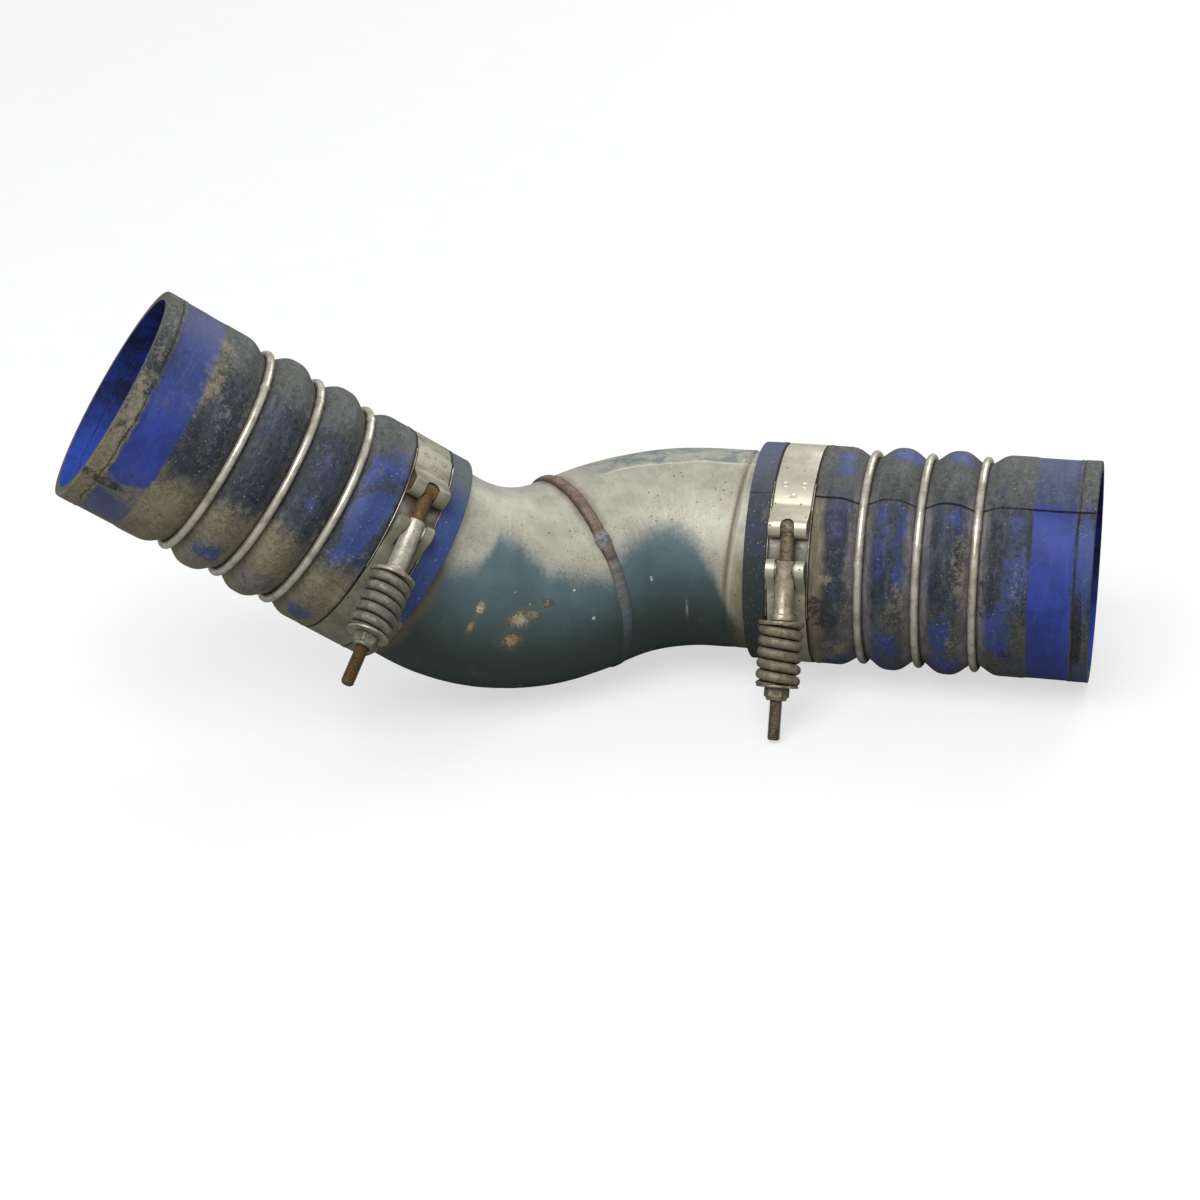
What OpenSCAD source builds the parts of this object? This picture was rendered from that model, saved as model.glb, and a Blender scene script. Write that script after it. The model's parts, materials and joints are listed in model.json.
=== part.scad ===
// Charge-air intercooler pipe: two welded steel elbows with a clamped hump hose on each end.
// Lengths are millimetres. The part lies on a floor at z = 0 and +Z is up.

/* [Pipe] */
// Outside diameter of the steel tube
pipe_od = 101.6; // [95:0.1:110]
// Wall of the steel tube
pipe_wall = 1.6; // [1.2:0.1:3]
// Centreline radius of both bends
bend_radius = 90; // [80:1:110]
// How much thinner the bends are drawn on each face of the wall
bend_thin = 0.05; // [0.03:0.01:0.15]
// Angle of the left bend
left_bend = 48; // [42:1:54]
// Angle of the right bend
right_bend = 42; // [36:1:48]
// Angle that the right bend's plane is turned out of a flat S
bend_clock = 57; // [50:1:64]
// Straight run between the weld and the left bend
left_land = 6; // [4:1:14]
// Straight run between the weld and the right bend
right_land = 10; // [4:1:16]
// Bare straight run between the left bend and its hose
left_stub = 11; // [8:1:24]
// Bare straight run between the right bend and its hose
right_stub = 22; // [12:1:32]
// Length of pipe inside each hose
pipe_insert = 38; // [34:1:40]
// Distance from the pipe's end to the middle of its rolled bead
bead_setback = 4; // [3:0.5:6]
// Width of the rolled bead
bead_w = 5; // [4:0.5:6]
// Height of the rolled bead
bead_h = 1.2; // [0.8:0.1:1.8]
// Distance from the right bend to the crease in the tube
crease_x = 12; // [8:0.5:14]
// Width of the crease
crease_w = 2.4; // [1.6:0.2:4]
// Depth of the crease
crease_d = 0.6; // [0.3:0.1:1]

/* [Weld] */
// Width of the weld bead
weld_w = 7; // [5:0.5:9]
// Mean height of the weld bead over the tube
weld_h = 1.3; // [1:0.1:1.8]
// How much higher the bead is on top than its mean, and how much lower below
weld_lean = 0.8; // [0.3:0.1:0.9]

/* [Hose] */
// Length of each hose
hose_length = 169; // [160:1:190]
// Wall of each hose
hose_wall = 4.6; // [4:0.1:6]
// Distance between the support rings
ring_pitch = 28; // [26:0.5:30]
// Height of the humps over the straight cuffs
hump_rise = 1; // [0.5:0.1:2]
// Depth of the valleys under the straight cuffs
valley_drop = 5.2; // [4:0.1:6]
// Wire diameter of the support rings
ring_wire = 4; // [3:0.1:5]
// Width of the band that an earlier clamp pressed into the free cuff
imprint_w = 22; // [18:0.5:23]
// Distance from the hose's free end to that band
imprint_setback = 10; // [7:0.5:11]
// Depth of that band
imprint_depth = 0.3; // [0.15:0.05:0.5]

/* [Clamp] */
// Distance from the hose's end to the middle of the clamp band
clamp_setback = 22; // [20:0.5:23]
// Width of the clamp band
band_w = 19; // [16:0.5:20]
// Thickness of the clamp band
band_t = 0.8; // [0.6:0.05:1]
// How far the tightened band sinks into the hose
band_sink = 0.8; // [0.4:0.1:1.2]
// Angle from the front of the band to each loop's bar
loop_angle = 10; // [9:0.5:13]
// Angle from the front of the band to the bend where a loop lifts off
kick_angle = 22; // [21:0.5:25]
// Angle from the front of the band to the end of each folded tail
tail_angle = 42; // [38:1:50]
// Diameter of a spot weld's dimple
spot_d = 3.2; // [2:0.2:4]
// Depth of a spot weld's dimple
spot_depth = 0.25; // [0.1:0.05:0.4]
// Half of the angle that the bridge plate covers
bridge_angle = 36; // [32:1:42]
// Thickness of the bridge plate
bridge_t = 0.6; // [0.4:0.05:0.8]
// Height of the bridge plate's side flanges
flange_h = 2.6; // [1.5:0.1:3.5]
// Turn of the left clamp about its hose
left_clamp_clock = 101; // [95:1:107]
// Turn of the right clamp about its hose
right_clamp_clock = 142; // [136:1:148]

/* [Bolt] */
// Diameter of the T-bolt's shank
bolt_d = 6.35; // [5.5:0.05:7]
// Length of the T-bolt under its cross bar
bolt_length = 104; // [98:1:110]
// Diameter of the T-bolt's cross bar and of the trunnion's bar
bar_d = 8.4; // [7.5:0.1:9]
// Length of the cross bars
bar_length = 18; // [16:0.5:19]
// Outside diameter of the trunnion's sleeve
sleeve_d = 9.6; // [9:0.1:10.5]
// Length of the sleeve from the middle of its bar
sleeve_length = 25; // [22:0.5:28]
// Diameter of the collar at the end of the sleeve
collar_d = 11.4; // [10.8:0.1:12]
// Length of the collar
collar_length = 3.5; // [2:0.5:5]
// Outside diameter of the flange washer
washer_d = 22.4; // [21:0.1:24]
// Thickness of the flange washer
flange_washer_t = 2; // [1.5:0.1:3]
// Thickness of the plain washer under the nut
plain_washer_t = 1.4; // [1:0.1:2]
// Outside diameter of the spring
spring_d = 22; // [20:0.5:23]
// Wire diameter of the spring
spring_wire = 5.1; // [4.4:0.1:5.2]
// Length of the loaded spring
spring_length = 29; // [28:0.5:32]
// Number of turns in the spring
spring_turns = 4.8; // [4.4:0.1:4.9]
// How far the spring's first end is turned from the side of the clamp towards its front
spring_clock = 36; // [0:2:90]
// Size of the lock nut across its flats
nut_flats = 11.1; // [10:0.1:12]
// Height of the lock nut's hexagon
nut_hex_h = 5; // [4:0.5:6]
// Height of the whole lock nut
nut_h = 6.5; // [6:0.5:9]

/* [Fit] */
// Radial clearance between pieces that seat on each other
seat = 0.05; // [0.02:0.01:0.1]
// Radial clearance of the bolt in the trunnion, washers and nut
bolt_play = 0.3; // [0.2:0.05:0.5]

/* [Hidden] */
$fn = 96;
FINE = 32;
OVERCUT = 5;
LAP_ANGLE = 0.3;

// Radii of the pipe and hose
pipe_r = pipe_od / 2;
bore_r = pipe_r - pipe_wall;
hose_bore_r = pipe_r + seat;
cuff_r = hose_bore_r + hose_wall;
hump_r = cuff_r + hump_rise;
valley_r = cuff_r - valley_drop;
ring_r = valley_r + ring_wire / 2 + seat;
groove_r = cuff_r - band_sink;
hose_mid = hose_length / 2;
waved_half = 1.5 * ring_pitch;

// Clamp band, measured along its middle layer
band_mid_r = groove_r + seat + band_t / 2;
loop_r = bar_d / 2 + seat + band_t / 2;
bar_centre_r = band_mid_r + loop_r;
tail_mid_r = band_mid_r + band_t + seat;
bar_y = bar_centre_r * sin(loop_angle);
bolt_z = bar_centre_r * cos(loop_angle);
bridge_in_r = groove_r - bridge_t;
bridge_w = band_w + 2 * (bridge_t + seat + 0.35);
hole_r = bolt_d / 2 + bolt_play;
neck_r = hole_r - seat;

// Places of the stacked pieces along the bolt, from the middle of the clamp towards the nut
sleeve_end = bar_y + sleeve_length;
spring_start = sleeve_end + flange_washer_t;
spring_end = spring_start + spring_length;
nut_start = spring_end + plain_washer_t;
bolt_tip = bolt_length - bar_y;

// Points on circles, measured from +Z towards +Y, as (y, z)
function spoke(angle, radius) = [radius * sin(angle), radius * cos(angle)];
function steps(a, b, size) = let (n = max(1, ceil(abs(b - a) / size))) [for (i = [0:n]) a + (b - a) * i / n];
function arc(centre, radius, a, b, size) = [for (t = steps(a, b, size)) centre + spoke(t, radius)];
function reversed(list) = [for (i = [len(list) - 1:-1:0]) list[i]];
function mirrored(list) = [for (p = list) [-p.x, p.y]];

// Outline of a strip of thickness t that follows a path
function heading(path, i) = let (
        a = path[max(0, i - 1)],
        b = path[min(len(path) - 1, i + 1)])
    (b - a) / norm(b - a);
function strip_side(path, offset) = [
    for (i = [0:len(path) - 1]) let (d = heading(path, i)) path[i] + offset * [-d.y, d.x]];
function strip(path, t) = concat(strip_side(path, t / 2), reversed(strip_side(path, -t / 2)));

// Rotations of a point, and the same for the legs of the pipe
function about_x(a, p) = [p.x, p.y * cos(a) - p.z * sin(a), p.y * sin(a) + p.z * cos(a)];
function about_y(a, p) = [p.x * cos(a) + p.z * sin(a), p.y, p.z * cos(a) - p.x * sin(a)];
function bent(land, bend, p) = [land, 0, -bend_radius] + about_y(bend, p + [0, 0, bend_radius]);
function swung(p) = about_x(180 + bend_clock, [-p.x, -p.y, p.z]);
function right_point(p) = bent(right_land, right_bend, p);
function left_point(p) = swung(bent(left_land, left_bend, p));

// Circles [centre, axis, radius] that the outside of the part can rest on
function leg_axis(side) = side > 0
    ? right_point([1, 0, 0]) - right_point([0, 0, 0])
    : left_point([1, 0, 0]) - left_point([0, 0, 0]);
function leg_circle(side, x, r) = [side > 0 ? right_point([x, 0, 0]) : left_point([x, 0, 0]), leg_axis(side), r];
function bend_circle(side, a) = side > 0
    ? [bent(right_land, a, [0, 0, 0]), about_y(a, [1, 0, 0]), pipe_r]
    : [swung(bent(left_land, a, [0, 0, 0])), swung(about_y(a, [1, 0, 0])), pipe_r];
function stub(side) = side > 0 ? right_stub : left_stub;
function hose_circles(side) = [
    leg_circle(side, stub(side), cuff_r),
    leg_circle(side, stub(side) + hose_mid - ring_pitch / 2, hump_r),
    leg_circle(side, stub(side) + hose_mid + ring_pitch / 2, hump_r),
    leg_circle(side, stub(side) + hose_length, cuff_r)];
function clamp_clock(side) = side > 0 ? right_clamp_clock : left_clamp_clock;
function clamp_point(side, p) = let (
        q = about_x(clamp_clock(side), [side * p.x, side * p.y, p.z]) + [stub(side) + clamp_setback, 0, 0])
    side > 0 ? right_point(q) : left_point(q);
function bolt_circle(side, y, r) = [
    clamp_point(side, [0, -y, bolt_z]),
    clamp_point(side, [0, 1, 0]) - clamp_point(side, [0, 0, 0]),
    r];
function bolt_circles(side) = [
    bolt_circle(side, spring_end, washer_d / 2),
    bolt_circle(side, bolt_tip, bolt_d / 2)];
WELD_TOP = [0, -1, 0];
WELD_CIRCLE = [weld_lean * WELD_TOP, [1, 0, 0], pipe_r + weld_h];
BEND_CIRCLES = [
    for (a = [0:2:left_bend]) bend_circle(-1, a),
    for (a = [0:2:right_bend]) bend_circle(1, a)];
BELLY = concat([WELD_CIRCLE], BEND_CIRCLES);
OUTSIDE = concat(BELLY, hose_circles(-1), hose_circles(1), bolt_circles(-1), bolt_circles(1));

// How the part comes to rest: on the belly of the elbows, the right hose and the tip of the right bolt
function low_point(c, up) = let (w = up - (up * c[1]) * c[1]) c[0] - c[2] * w / norm(w);
function lowest(circles, up) = let (
        points = [for (c = circles) low_point(c, up)],
        heights = [for (p = points) p * up],
        low = min(heights))
    [for (i = [0:len(points) - 1]) if (heights[i] == low) points[i]][0];
function upward(n, up) = n / norm(n) * sign(n * up);
function settled(up, passes) = passes == 0 ? up : let (
        a = lowest(BELLY, up),
        b = lowest(hose_circles(1), up),
        c = lowest([bolt_circle(1, bolt_tip, bolt_d / 2)], up))
    settled(upward(cross(b - a, c - a), up), passes - 1);
UP = settled([0.14, -0.97, 0.17], 12);
SPAN = leg_circle(1, right_stub + hose_length, 0)[0] - leg_circle(-1, left_stub + hose_length, 0)[0];
ACROSS = cross(UP, SPAN) / norm(cross(UP, SPAN));
ALONG = cross(ACROSS, UP);

// Middle and base of the laid part's box
function reach(circles, way) = max([
    for (c = circles) c[0] * way + c[2] * norm(way - (way * c[1]) * c[1])]);
function middle(way) = (reach(OUTSIDE, way) - reach(OUTSIDE, -way)) / 2;
BASE = -reach(OUTSIDE, -UP);

// The hose's outside as it goes over humps and valleys, at distance s from its middle
function crest_r(s) = abs(s) < ring_pitch ? hump_r : cuff_r;
function wave(s) = pow(abs(cos(180 * s / ring_pitch)), 3);
function waved_r(s) = crest_r(s) - (crest_r(s) - valley_r) * wave(s);

// Placement of each leg, hose, clamp and bolt
module laid() {
    multmatrix([
        [ALONG.x, ALONG.y, ALONG.z, -middle(ALONG)],
        [ACROSS.x, ACROSS.y, ACROSS.z, -middle(ACROSS)],
        [UP.x, UP.y, UP.z, -BASE],
        [0, 0, 0, 1]])
        children();
}

module on_side(side) {
    laid()
        if (side > 0)
            children();
        else
            rotate([180 + bend_clock, 0, 0])
                rotate([0, 0, 180])
                    children();
}

module past_bend(land, bend) {
    translate([land, 0, -bend_radius])
        rotate([0, bend, 0])
            translate([0, 0, bend_radius])
                children();
}

module on_leg(side) {
    on_side(side)
        past_bend(side > 0 ? right_land : left_land, side > 0 ? right_bend : left_bend)
            children();
}

module at_clamp(side) {
    on_leg(side)
        translate([stub(side) + clamp_setback, 0, 0])
            rotate([clamp_clock(side), 0, 0])
                rotate([0, 0, side > 0 ? 0 : 180])
                    children();
}

module along_bolt(y) {
    translate([0, -y, bolt_z])
        rotate([90, 0, 0])
            children();
}

// A solid turned about the leg from points (radius, x)
module turned(points) {
    rotate([90, 0, 90])
        rotate_extrude()
            polygon(points);
}

// A solid turned over part of a circle, centred on the front of the clamp
module turned_front(points, half_angle) {
    rotate([90, 0, 90])
        rotate([0, 0, 90 - half_angle])
            rotate_extrude(angle = 2 * half_angle)
                polygon(points);
}

// Steel elbows; each bend laps a little into the walls of its straight runs
module land_tube(length) {
    turned([[bore_r, 0], [pipe_r, 0], [pipe_r, length], [bore_r, length]]);
}

module bend_wall(bend) {
    translate([0, 0, -bend_radius])
        rotate([90, 0, 0])
            rotate([0, 0, 90 - bend - LAP_ANGLE])
                rotate_extrude(angle = bend + 2 * LAP_ANGLE)
                    translate([bend_radius, 0])
                        difference() {
                            circle(pipe_r - bend_thin);
                            circle(bore_r + bend_thin);
                        }
}

// Straight leg past a bend, with a rolled bead near its end and a crease where one is asked for
function bead_points(x) = [
    [pipe_r, x - bead_w / 2],
    [pipe_r + bead_h, x - bead_w / 6],
    [pipe_r + bead_h, x + bead_w / 6],
    [pipe_r, x + bead_w / 2]];
function crease_points(x) = [
    [pipe_r, x - crease_w / 2],
    [pipe_r - crease_d, x],
    [pipe_r, x + crease_w / 2]];

module leg_tube(length, creased) {
    turned(concat(
        [[bore_r, 0], [pipe_r, 0]],
        creased ? crease_points(crease_x) : [],
        bead_points(length - bead_setback),
        [[pipe_r, length], [bore_r, length]]));
}

module left_elbow() {
    color("slategray")
        on_side(-1) {
            land_tube(left_land);
            translate([left_land, 0, 0])
                bend_wall(left_bend);
            past_bend(left_land, left_bend)
                leg_tube(left_stub + pipe_insert, false);
        }
}

module right_elbow() {
    color("lightslategray")
        on_side(1) {
            land_tube(right_land);
            translate([right_land, 0, 0])
                bend_wall(right_bend);
            past_bend(right_land, right_bend)
                leg_tube(right_stub + pipe_insert, true);
        }
}

// Weld run over the joint of the elbows
module weld_bead() {
    color("sienna")
        laid()
            difference() {
                translate(weld_lean * WELD_TOP)
                    turned(concat(
                        [for (a = [0:15:180]) [pipe_r + weld_h * sin(a), weld_w / 2 * cos(a)]],
                        [[bore_r, -weld_w / 2], [bore_r, weld_w / 2]]));
                turned([
                    [0, -weld_w],
                    [pipe_r + seat, -weld_w],
                    [pipe_r + seat, weld_w],
                    [0, weld_w]]);
            }
}

// Hump hoses
function imprint_points(x) = [
    [cuff_r, x - imprint_w],
    [cuff_r - imprint_depth, x - imprint_w + 0.5],
    [cuff_r - imprint_depth, x - 0.5],
    [cuff_r, x]];

function hose_outside() = concat(
    [
        [cuff_r - 0.5, 0],
        [cuff_r, 0.5],
        [cuff_r, clamp_setback - band_w / 2 - 1],
        [groove_r, clamp_setback - band_w / 2 - 0.5],
        [groove_r, clamp_setback + band_w / 2 + 0.5],
        [cuff_r, clamp_setback + band_w / 2 + 1]
    ],
    [for (s = steps(-waved_half, waved_half, 1.8)) [waved_r(s), hose_mid + s]],
    imprint_points(hose_length - imprint_setback),
    [[cuff_r, hose_length - 0.5], [cuff_r - 0.5, hose_length]]);

function hose_inside() = let (bead_x = pipe_insert - bead_setback) concat(
    [
        [hose_bore_r, 0],
        [hose_bore_r, bead_x - bead_w / 2 - seat],
        [hose_bore_r + bead_h, bead_x - bead_w / 6 - seat],
        [hose_bore_r + bead_h, bead_x + bead_w / 6 + seat],
        [hose_bore_r, bead_x + bead_w / 2 + seat]
    ],
    [for (s = steps(-waved_half, waved_half, 1.8)) [waved_r(s) - hose_wall, hose_mid + s]],
    [[hose_bore_r, hose_length]]);

module hose(side) {
    difference() {
        on_leg(side)
            translate([stub(side), 0, 0])
                turned(concat(hose_outside(), reversed(hose_inside())));
        at_clamp(side)
            turned_front([
                [bridge_in_r - seat, -bridge_w / 2 - 0.3],
                [cuff_r + OVERCUT, -bridge_w / 2 - 0.3],
                [cuff_r + OVERCUT, bridge_w / 2 + 0.3],
                [bridge_in_r - seat, bridge_w / 2 + 0.3]], bridge_angle + 1);
    }
}

module support_ring(side, number) {
    on_leg(side)
        translate([stub(side) + hose_mid + (number - 2) * ring_pitch, 0, 0])
            rotate([0, 90, 0])
                rotate_extrude()
                    translate([ring_r, 0])
                        circle(ring_wire / 2, $fn = FINE);
}

// Clamp band: one strip whose ends fold back over the bars and are spot welded
function tangent_angle(from, centre, radius) = let (d = from - centre)
    atan2(d.x, d.y) - acos(radius / norm(d));
function half_band() = let (
        bar = spoke(loop_angle, bar_centre_r),
        kick = spoke(kick_angle, tail_mid_r),
        lift = tangent_angle(kick, bar, loop_r))
    concat(
        arc([0, 0], band_mid_r, 180, loop_angle, 4),
        arc(bar, loop_r, loop_angle + 180 + 15, lift + 360, 15),
        arc([0, 0], tail_mid_r, kick_angle, tail_angle, 4));

module spot(x, angle) {
    rotate([-angle, 0, 0])
        translate([x, 0, tail_mid_r + band_t / 2 - spot_depth])
            cylinder(h = OVERCUT, d = spot_d, $fn = FINE);
}

module slot(way, half_w, from_z, far_y) {
    translate([0, way * far_y, from_z])
        cylinder(h = bar_d + OVERCUT, r = half_w, $fn = FINE);
    translate([-half_w, way > 0 ? 0 : -far_y, from_z])
        cube([2 * half_w, far_y, bar_d + OVERCUT]);
}

module band() {
    half = half_band();
    path = concat(reversed(mirrored(half)), [for (i = [1:len(half) - 1]) half[i]]);
    difference() {
        translate([-band_w / 2, 0, 0])
            rotate([90, 0, 90])
                linear_extrude(band_w)
                    polygon(strip(path, band_t));
        slot(1, hole_r, bolt_z - bolt_d / 2 - bolt_play, bar_y + 1);
        slot(-1, sleeve_d / 2 + bolt_play, bolt_z - sleeve_d / 2 - bolt_play, bar_y + bar_d);
        for (way = [-1, 1]) {
            spot(-band_w / 4, way * (kick_angle + 13));
            spot(band_w / 4, way * (kick_angle + 13));
            spot(0, way * (kick_angle + 6));
        }
    }
}

module bridge() {
    side_in = bridge_w / 2 - bridge_t;
    turned_front([
        [bridge_in_r, -bridge_w / 2],
        [bridge_in_r + flange_h, -bridge_w / 2],
        [bridge_in_r + flange_h, -side_in],
        [bridge_in_r + bridge_t, -side_in],
        [bridge_in_r + bridge_t, side_in],
        [bridge_in_r + flange_h, side_in],
        [bridge_in_r + flange_h, bridge_w / 2],
        [bridge_in_r, bridge_w / 2]], bridge_angle);
}

// Bolt, trunnion and the spring stack
module cross_bar() {
    rotate([0, 90, 0])
        cylinder(h = bar_length, d = bar_d, center = true, $fn = FINE);
}

module t_bolt() {
    translate([0, bar_y, bolt_z])
        cross_bar();
    along_bolt(-bar_y)
        cylinder(h = bolt_length - 1, d = bolt_d, $fn = FINE);
    along_bolt(-bar_y)
        cylinder(h = 2 * bar_y, r = neck_r, $fn = FINE);
    along_bolt(bolt_tip - 1)
        cylinder(h = 1, d1 = bolt_d, d2 = bolt_d - 2, $fn = FINE);
}

module trunnion() {
    difference() {
        union() {
            translate([0, -bar_y, bolt_z])
                cross_bar();
            along_bolt(bar_y)
                cylinder(h = sleeve_length, d = sleeve_d, $fn = FINE);
            along_bolt(sleeve_end - collar_length)
                cylinder(h = collar_length, d = collar_d, $fn = FINE);
        }
        along_bolt(0)
            cylinder(h = sleeve_end + OVERCUT, r = hole_r, $fn = FINE);
    }
}

module washer(y, d, t) {
    along_bolt(y)
        difference() {
            cylinder(h = t, d = d, $fn = 64);
            translate([0, 0, -OVERCUT])
                cylinder(h = t + 2 * OVERCUT, r = hole_r, $fn = FINE);
        }
}

// Left-hand spring whose ends are ground flat, so that a quarter of the wire is gone there
module spring() {
    coil_r = (spring_d - spring_wire) / 2;
    sides = 8;
    turn_steps = 20;
    rings = ceil(spring_turns * turn_steps);
    low = seat;
    high = spring_length - seat;
    points = [
        for (i = [0:rings], j = [0:sides - 1]) let (
                a = spring_clock - 360 * spring_turns * i / rings,
                r = coil_r + spring_wire / 2 * cos(360 * j / sides),
                middle = low + spring_wire / 4 + (high - low - spring_wire / 2) * i / rings)
            [
                r * cos(a),
                r * sin(a),
                min(high, max(low, middle + spring_wire / 2 * sin(360 * j / sides)))
            ]];
    walls = [
        for (i = [0:rings - 1], j = [0:sides - 1]) let (k = (j + 1) % sides, a = i * sides, b = a + sides)
            [a + j, b + j, b + k, a + k]];
    caps = [[for (j = [0:sides - 1]) j], [for (j = [sides - 1:-1:0]) rings * sides + j]];
    along_bolt(spring_start)
        polyhedron(points, concat(walls, caps), convexity = 10);
}

module lock_nut() {
    along_bolt(nut_start)
        difference() {
            union() {
                cylinder(h = nut_hex_h, d = nut_flats / cos(30), $fn = 6);
                cylinder(h = nut_h, d = nut_flats - 0.6, $fn = FINE);
            }
            translate([0, 0, -OVERCUT])
                cylinder(h = nut_h + 2 * OVERCUT, r = bolt_d / 2 + seat, $fn = FINE);
        }
}

// Named pieces of each side
module side_hose(side) {
    color("royalblue")
        hose(side);
}

module side_ring(side, number) {
    color("silver")
        support_ring(side, number);
}

module side_band(side) {
    color("lightgray")
        at_clamp(side)
            band();
}

module side_bridge(side) {
    color("gainsboro")
        at_clamp(side)
            bridge();
}

module side_t_bolt(side) {
    color("peru")
        at_clamp(side)
            t_bolt();
}

module side_trunnion(side) {
    color("darkgray")
        at_clamp(side)
            trunnion();
}

module side_flange_washer(side) {
    color("silver")
        at_clamp(side)
            washer(sleeve_end, washer_d, flange_washer_t);
}

module side_spring(side) {
    color("dimgray")
        at_clamp(side)
            spring();
}

module side_plain_washer(side) {
    color("silver")
        at_clamp(side)
            washer(spring_end, washer_d - 1.6, plain_washer_t);
}

module side_lock_nut(side) {
    color("gray")
        at_clamp(side)
            lock_nut();
}

left_elbow();
right_elbow();
weld_bead();
side_hose(-1);  // left_hose
side_hose(1);  // right_hose
side_ring(-1, 1);  // left_ring_1
side_ring(-1, 2);  // left_ring_2
side_ring(-1, 3);  // left_ring_3
side_ring(1, 1);  // right_ring_1
side_ring(1, 2);  // right_ring_2
side_ring(1, 3);  // right_ring_3
side_band(-1);  // left_band
side_bridge(-1);  // left_bridge
side_t_bolt(-1);  // left_t_bolt
side_trunnion(-1);  // left_trunnion
side_flange_washer(-1);  // left_flange_washer
side_spring(-1);  // left_spring
side_plain_washer(-1);  // left_plain_washer
side_lock_nut(-1);  // left_lock_nut
side_band(1);  // right_band
side_bridge(1);  // right_bridge
side_t_bolt(1);  // right_t_bolt
side_trunnion(1);  // right_trunnion
side_flange_washer(1);  // right_flange_washer
side_spring(1);  // right_spring
side_plain_washer(1);  // right_plain_washer
side_lock_nut(1);  // right_lock_nut
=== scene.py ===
import json
import math

import bpy
import numpy as np
from mathutils import Matrix, Vector, noise


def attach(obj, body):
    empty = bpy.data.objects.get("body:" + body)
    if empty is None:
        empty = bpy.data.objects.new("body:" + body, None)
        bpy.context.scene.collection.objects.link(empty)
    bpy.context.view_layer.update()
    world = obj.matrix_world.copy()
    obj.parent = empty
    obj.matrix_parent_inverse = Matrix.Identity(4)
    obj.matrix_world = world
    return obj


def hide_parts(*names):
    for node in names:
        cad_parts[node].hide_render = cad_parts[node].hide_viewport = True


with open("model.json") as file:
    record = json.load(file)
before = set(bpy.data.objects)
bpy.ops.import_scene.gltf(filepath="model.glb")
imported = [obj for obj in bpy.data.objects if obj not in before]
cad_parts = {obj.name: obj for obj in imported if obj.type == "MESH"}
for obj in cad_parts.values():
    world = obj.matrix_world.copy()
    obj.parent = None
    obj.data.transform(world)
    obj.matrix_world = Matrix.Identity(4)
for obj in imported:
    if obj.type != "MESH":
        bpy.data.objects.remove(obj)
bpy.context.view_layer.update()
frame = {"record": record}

# Camera, floor and light.
# The pipe lies on a pale studio floor under one large soft lamp, and the camera looks down at it from the side
# that the clamps' bolts are on. The floor shows white but bounces less light up, as a matt sheet would.
scene = bpy.context.scene
scene.view_settings.view_transform = "Standard"
camera = bpy.data.objects.new("camera", bpy.data.cameras.new("camera"))
camera.location = (0.00234, -1.15352, 0.6466)
camera.rotation_euler = [math.radians(angle) for angle in (62.775, 2.437, -1.137)]
camera.data.lens = 78
camera.data.sensor_width = 36
scene.collection.objects.link(camera)
scene.camera = camera


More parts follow.
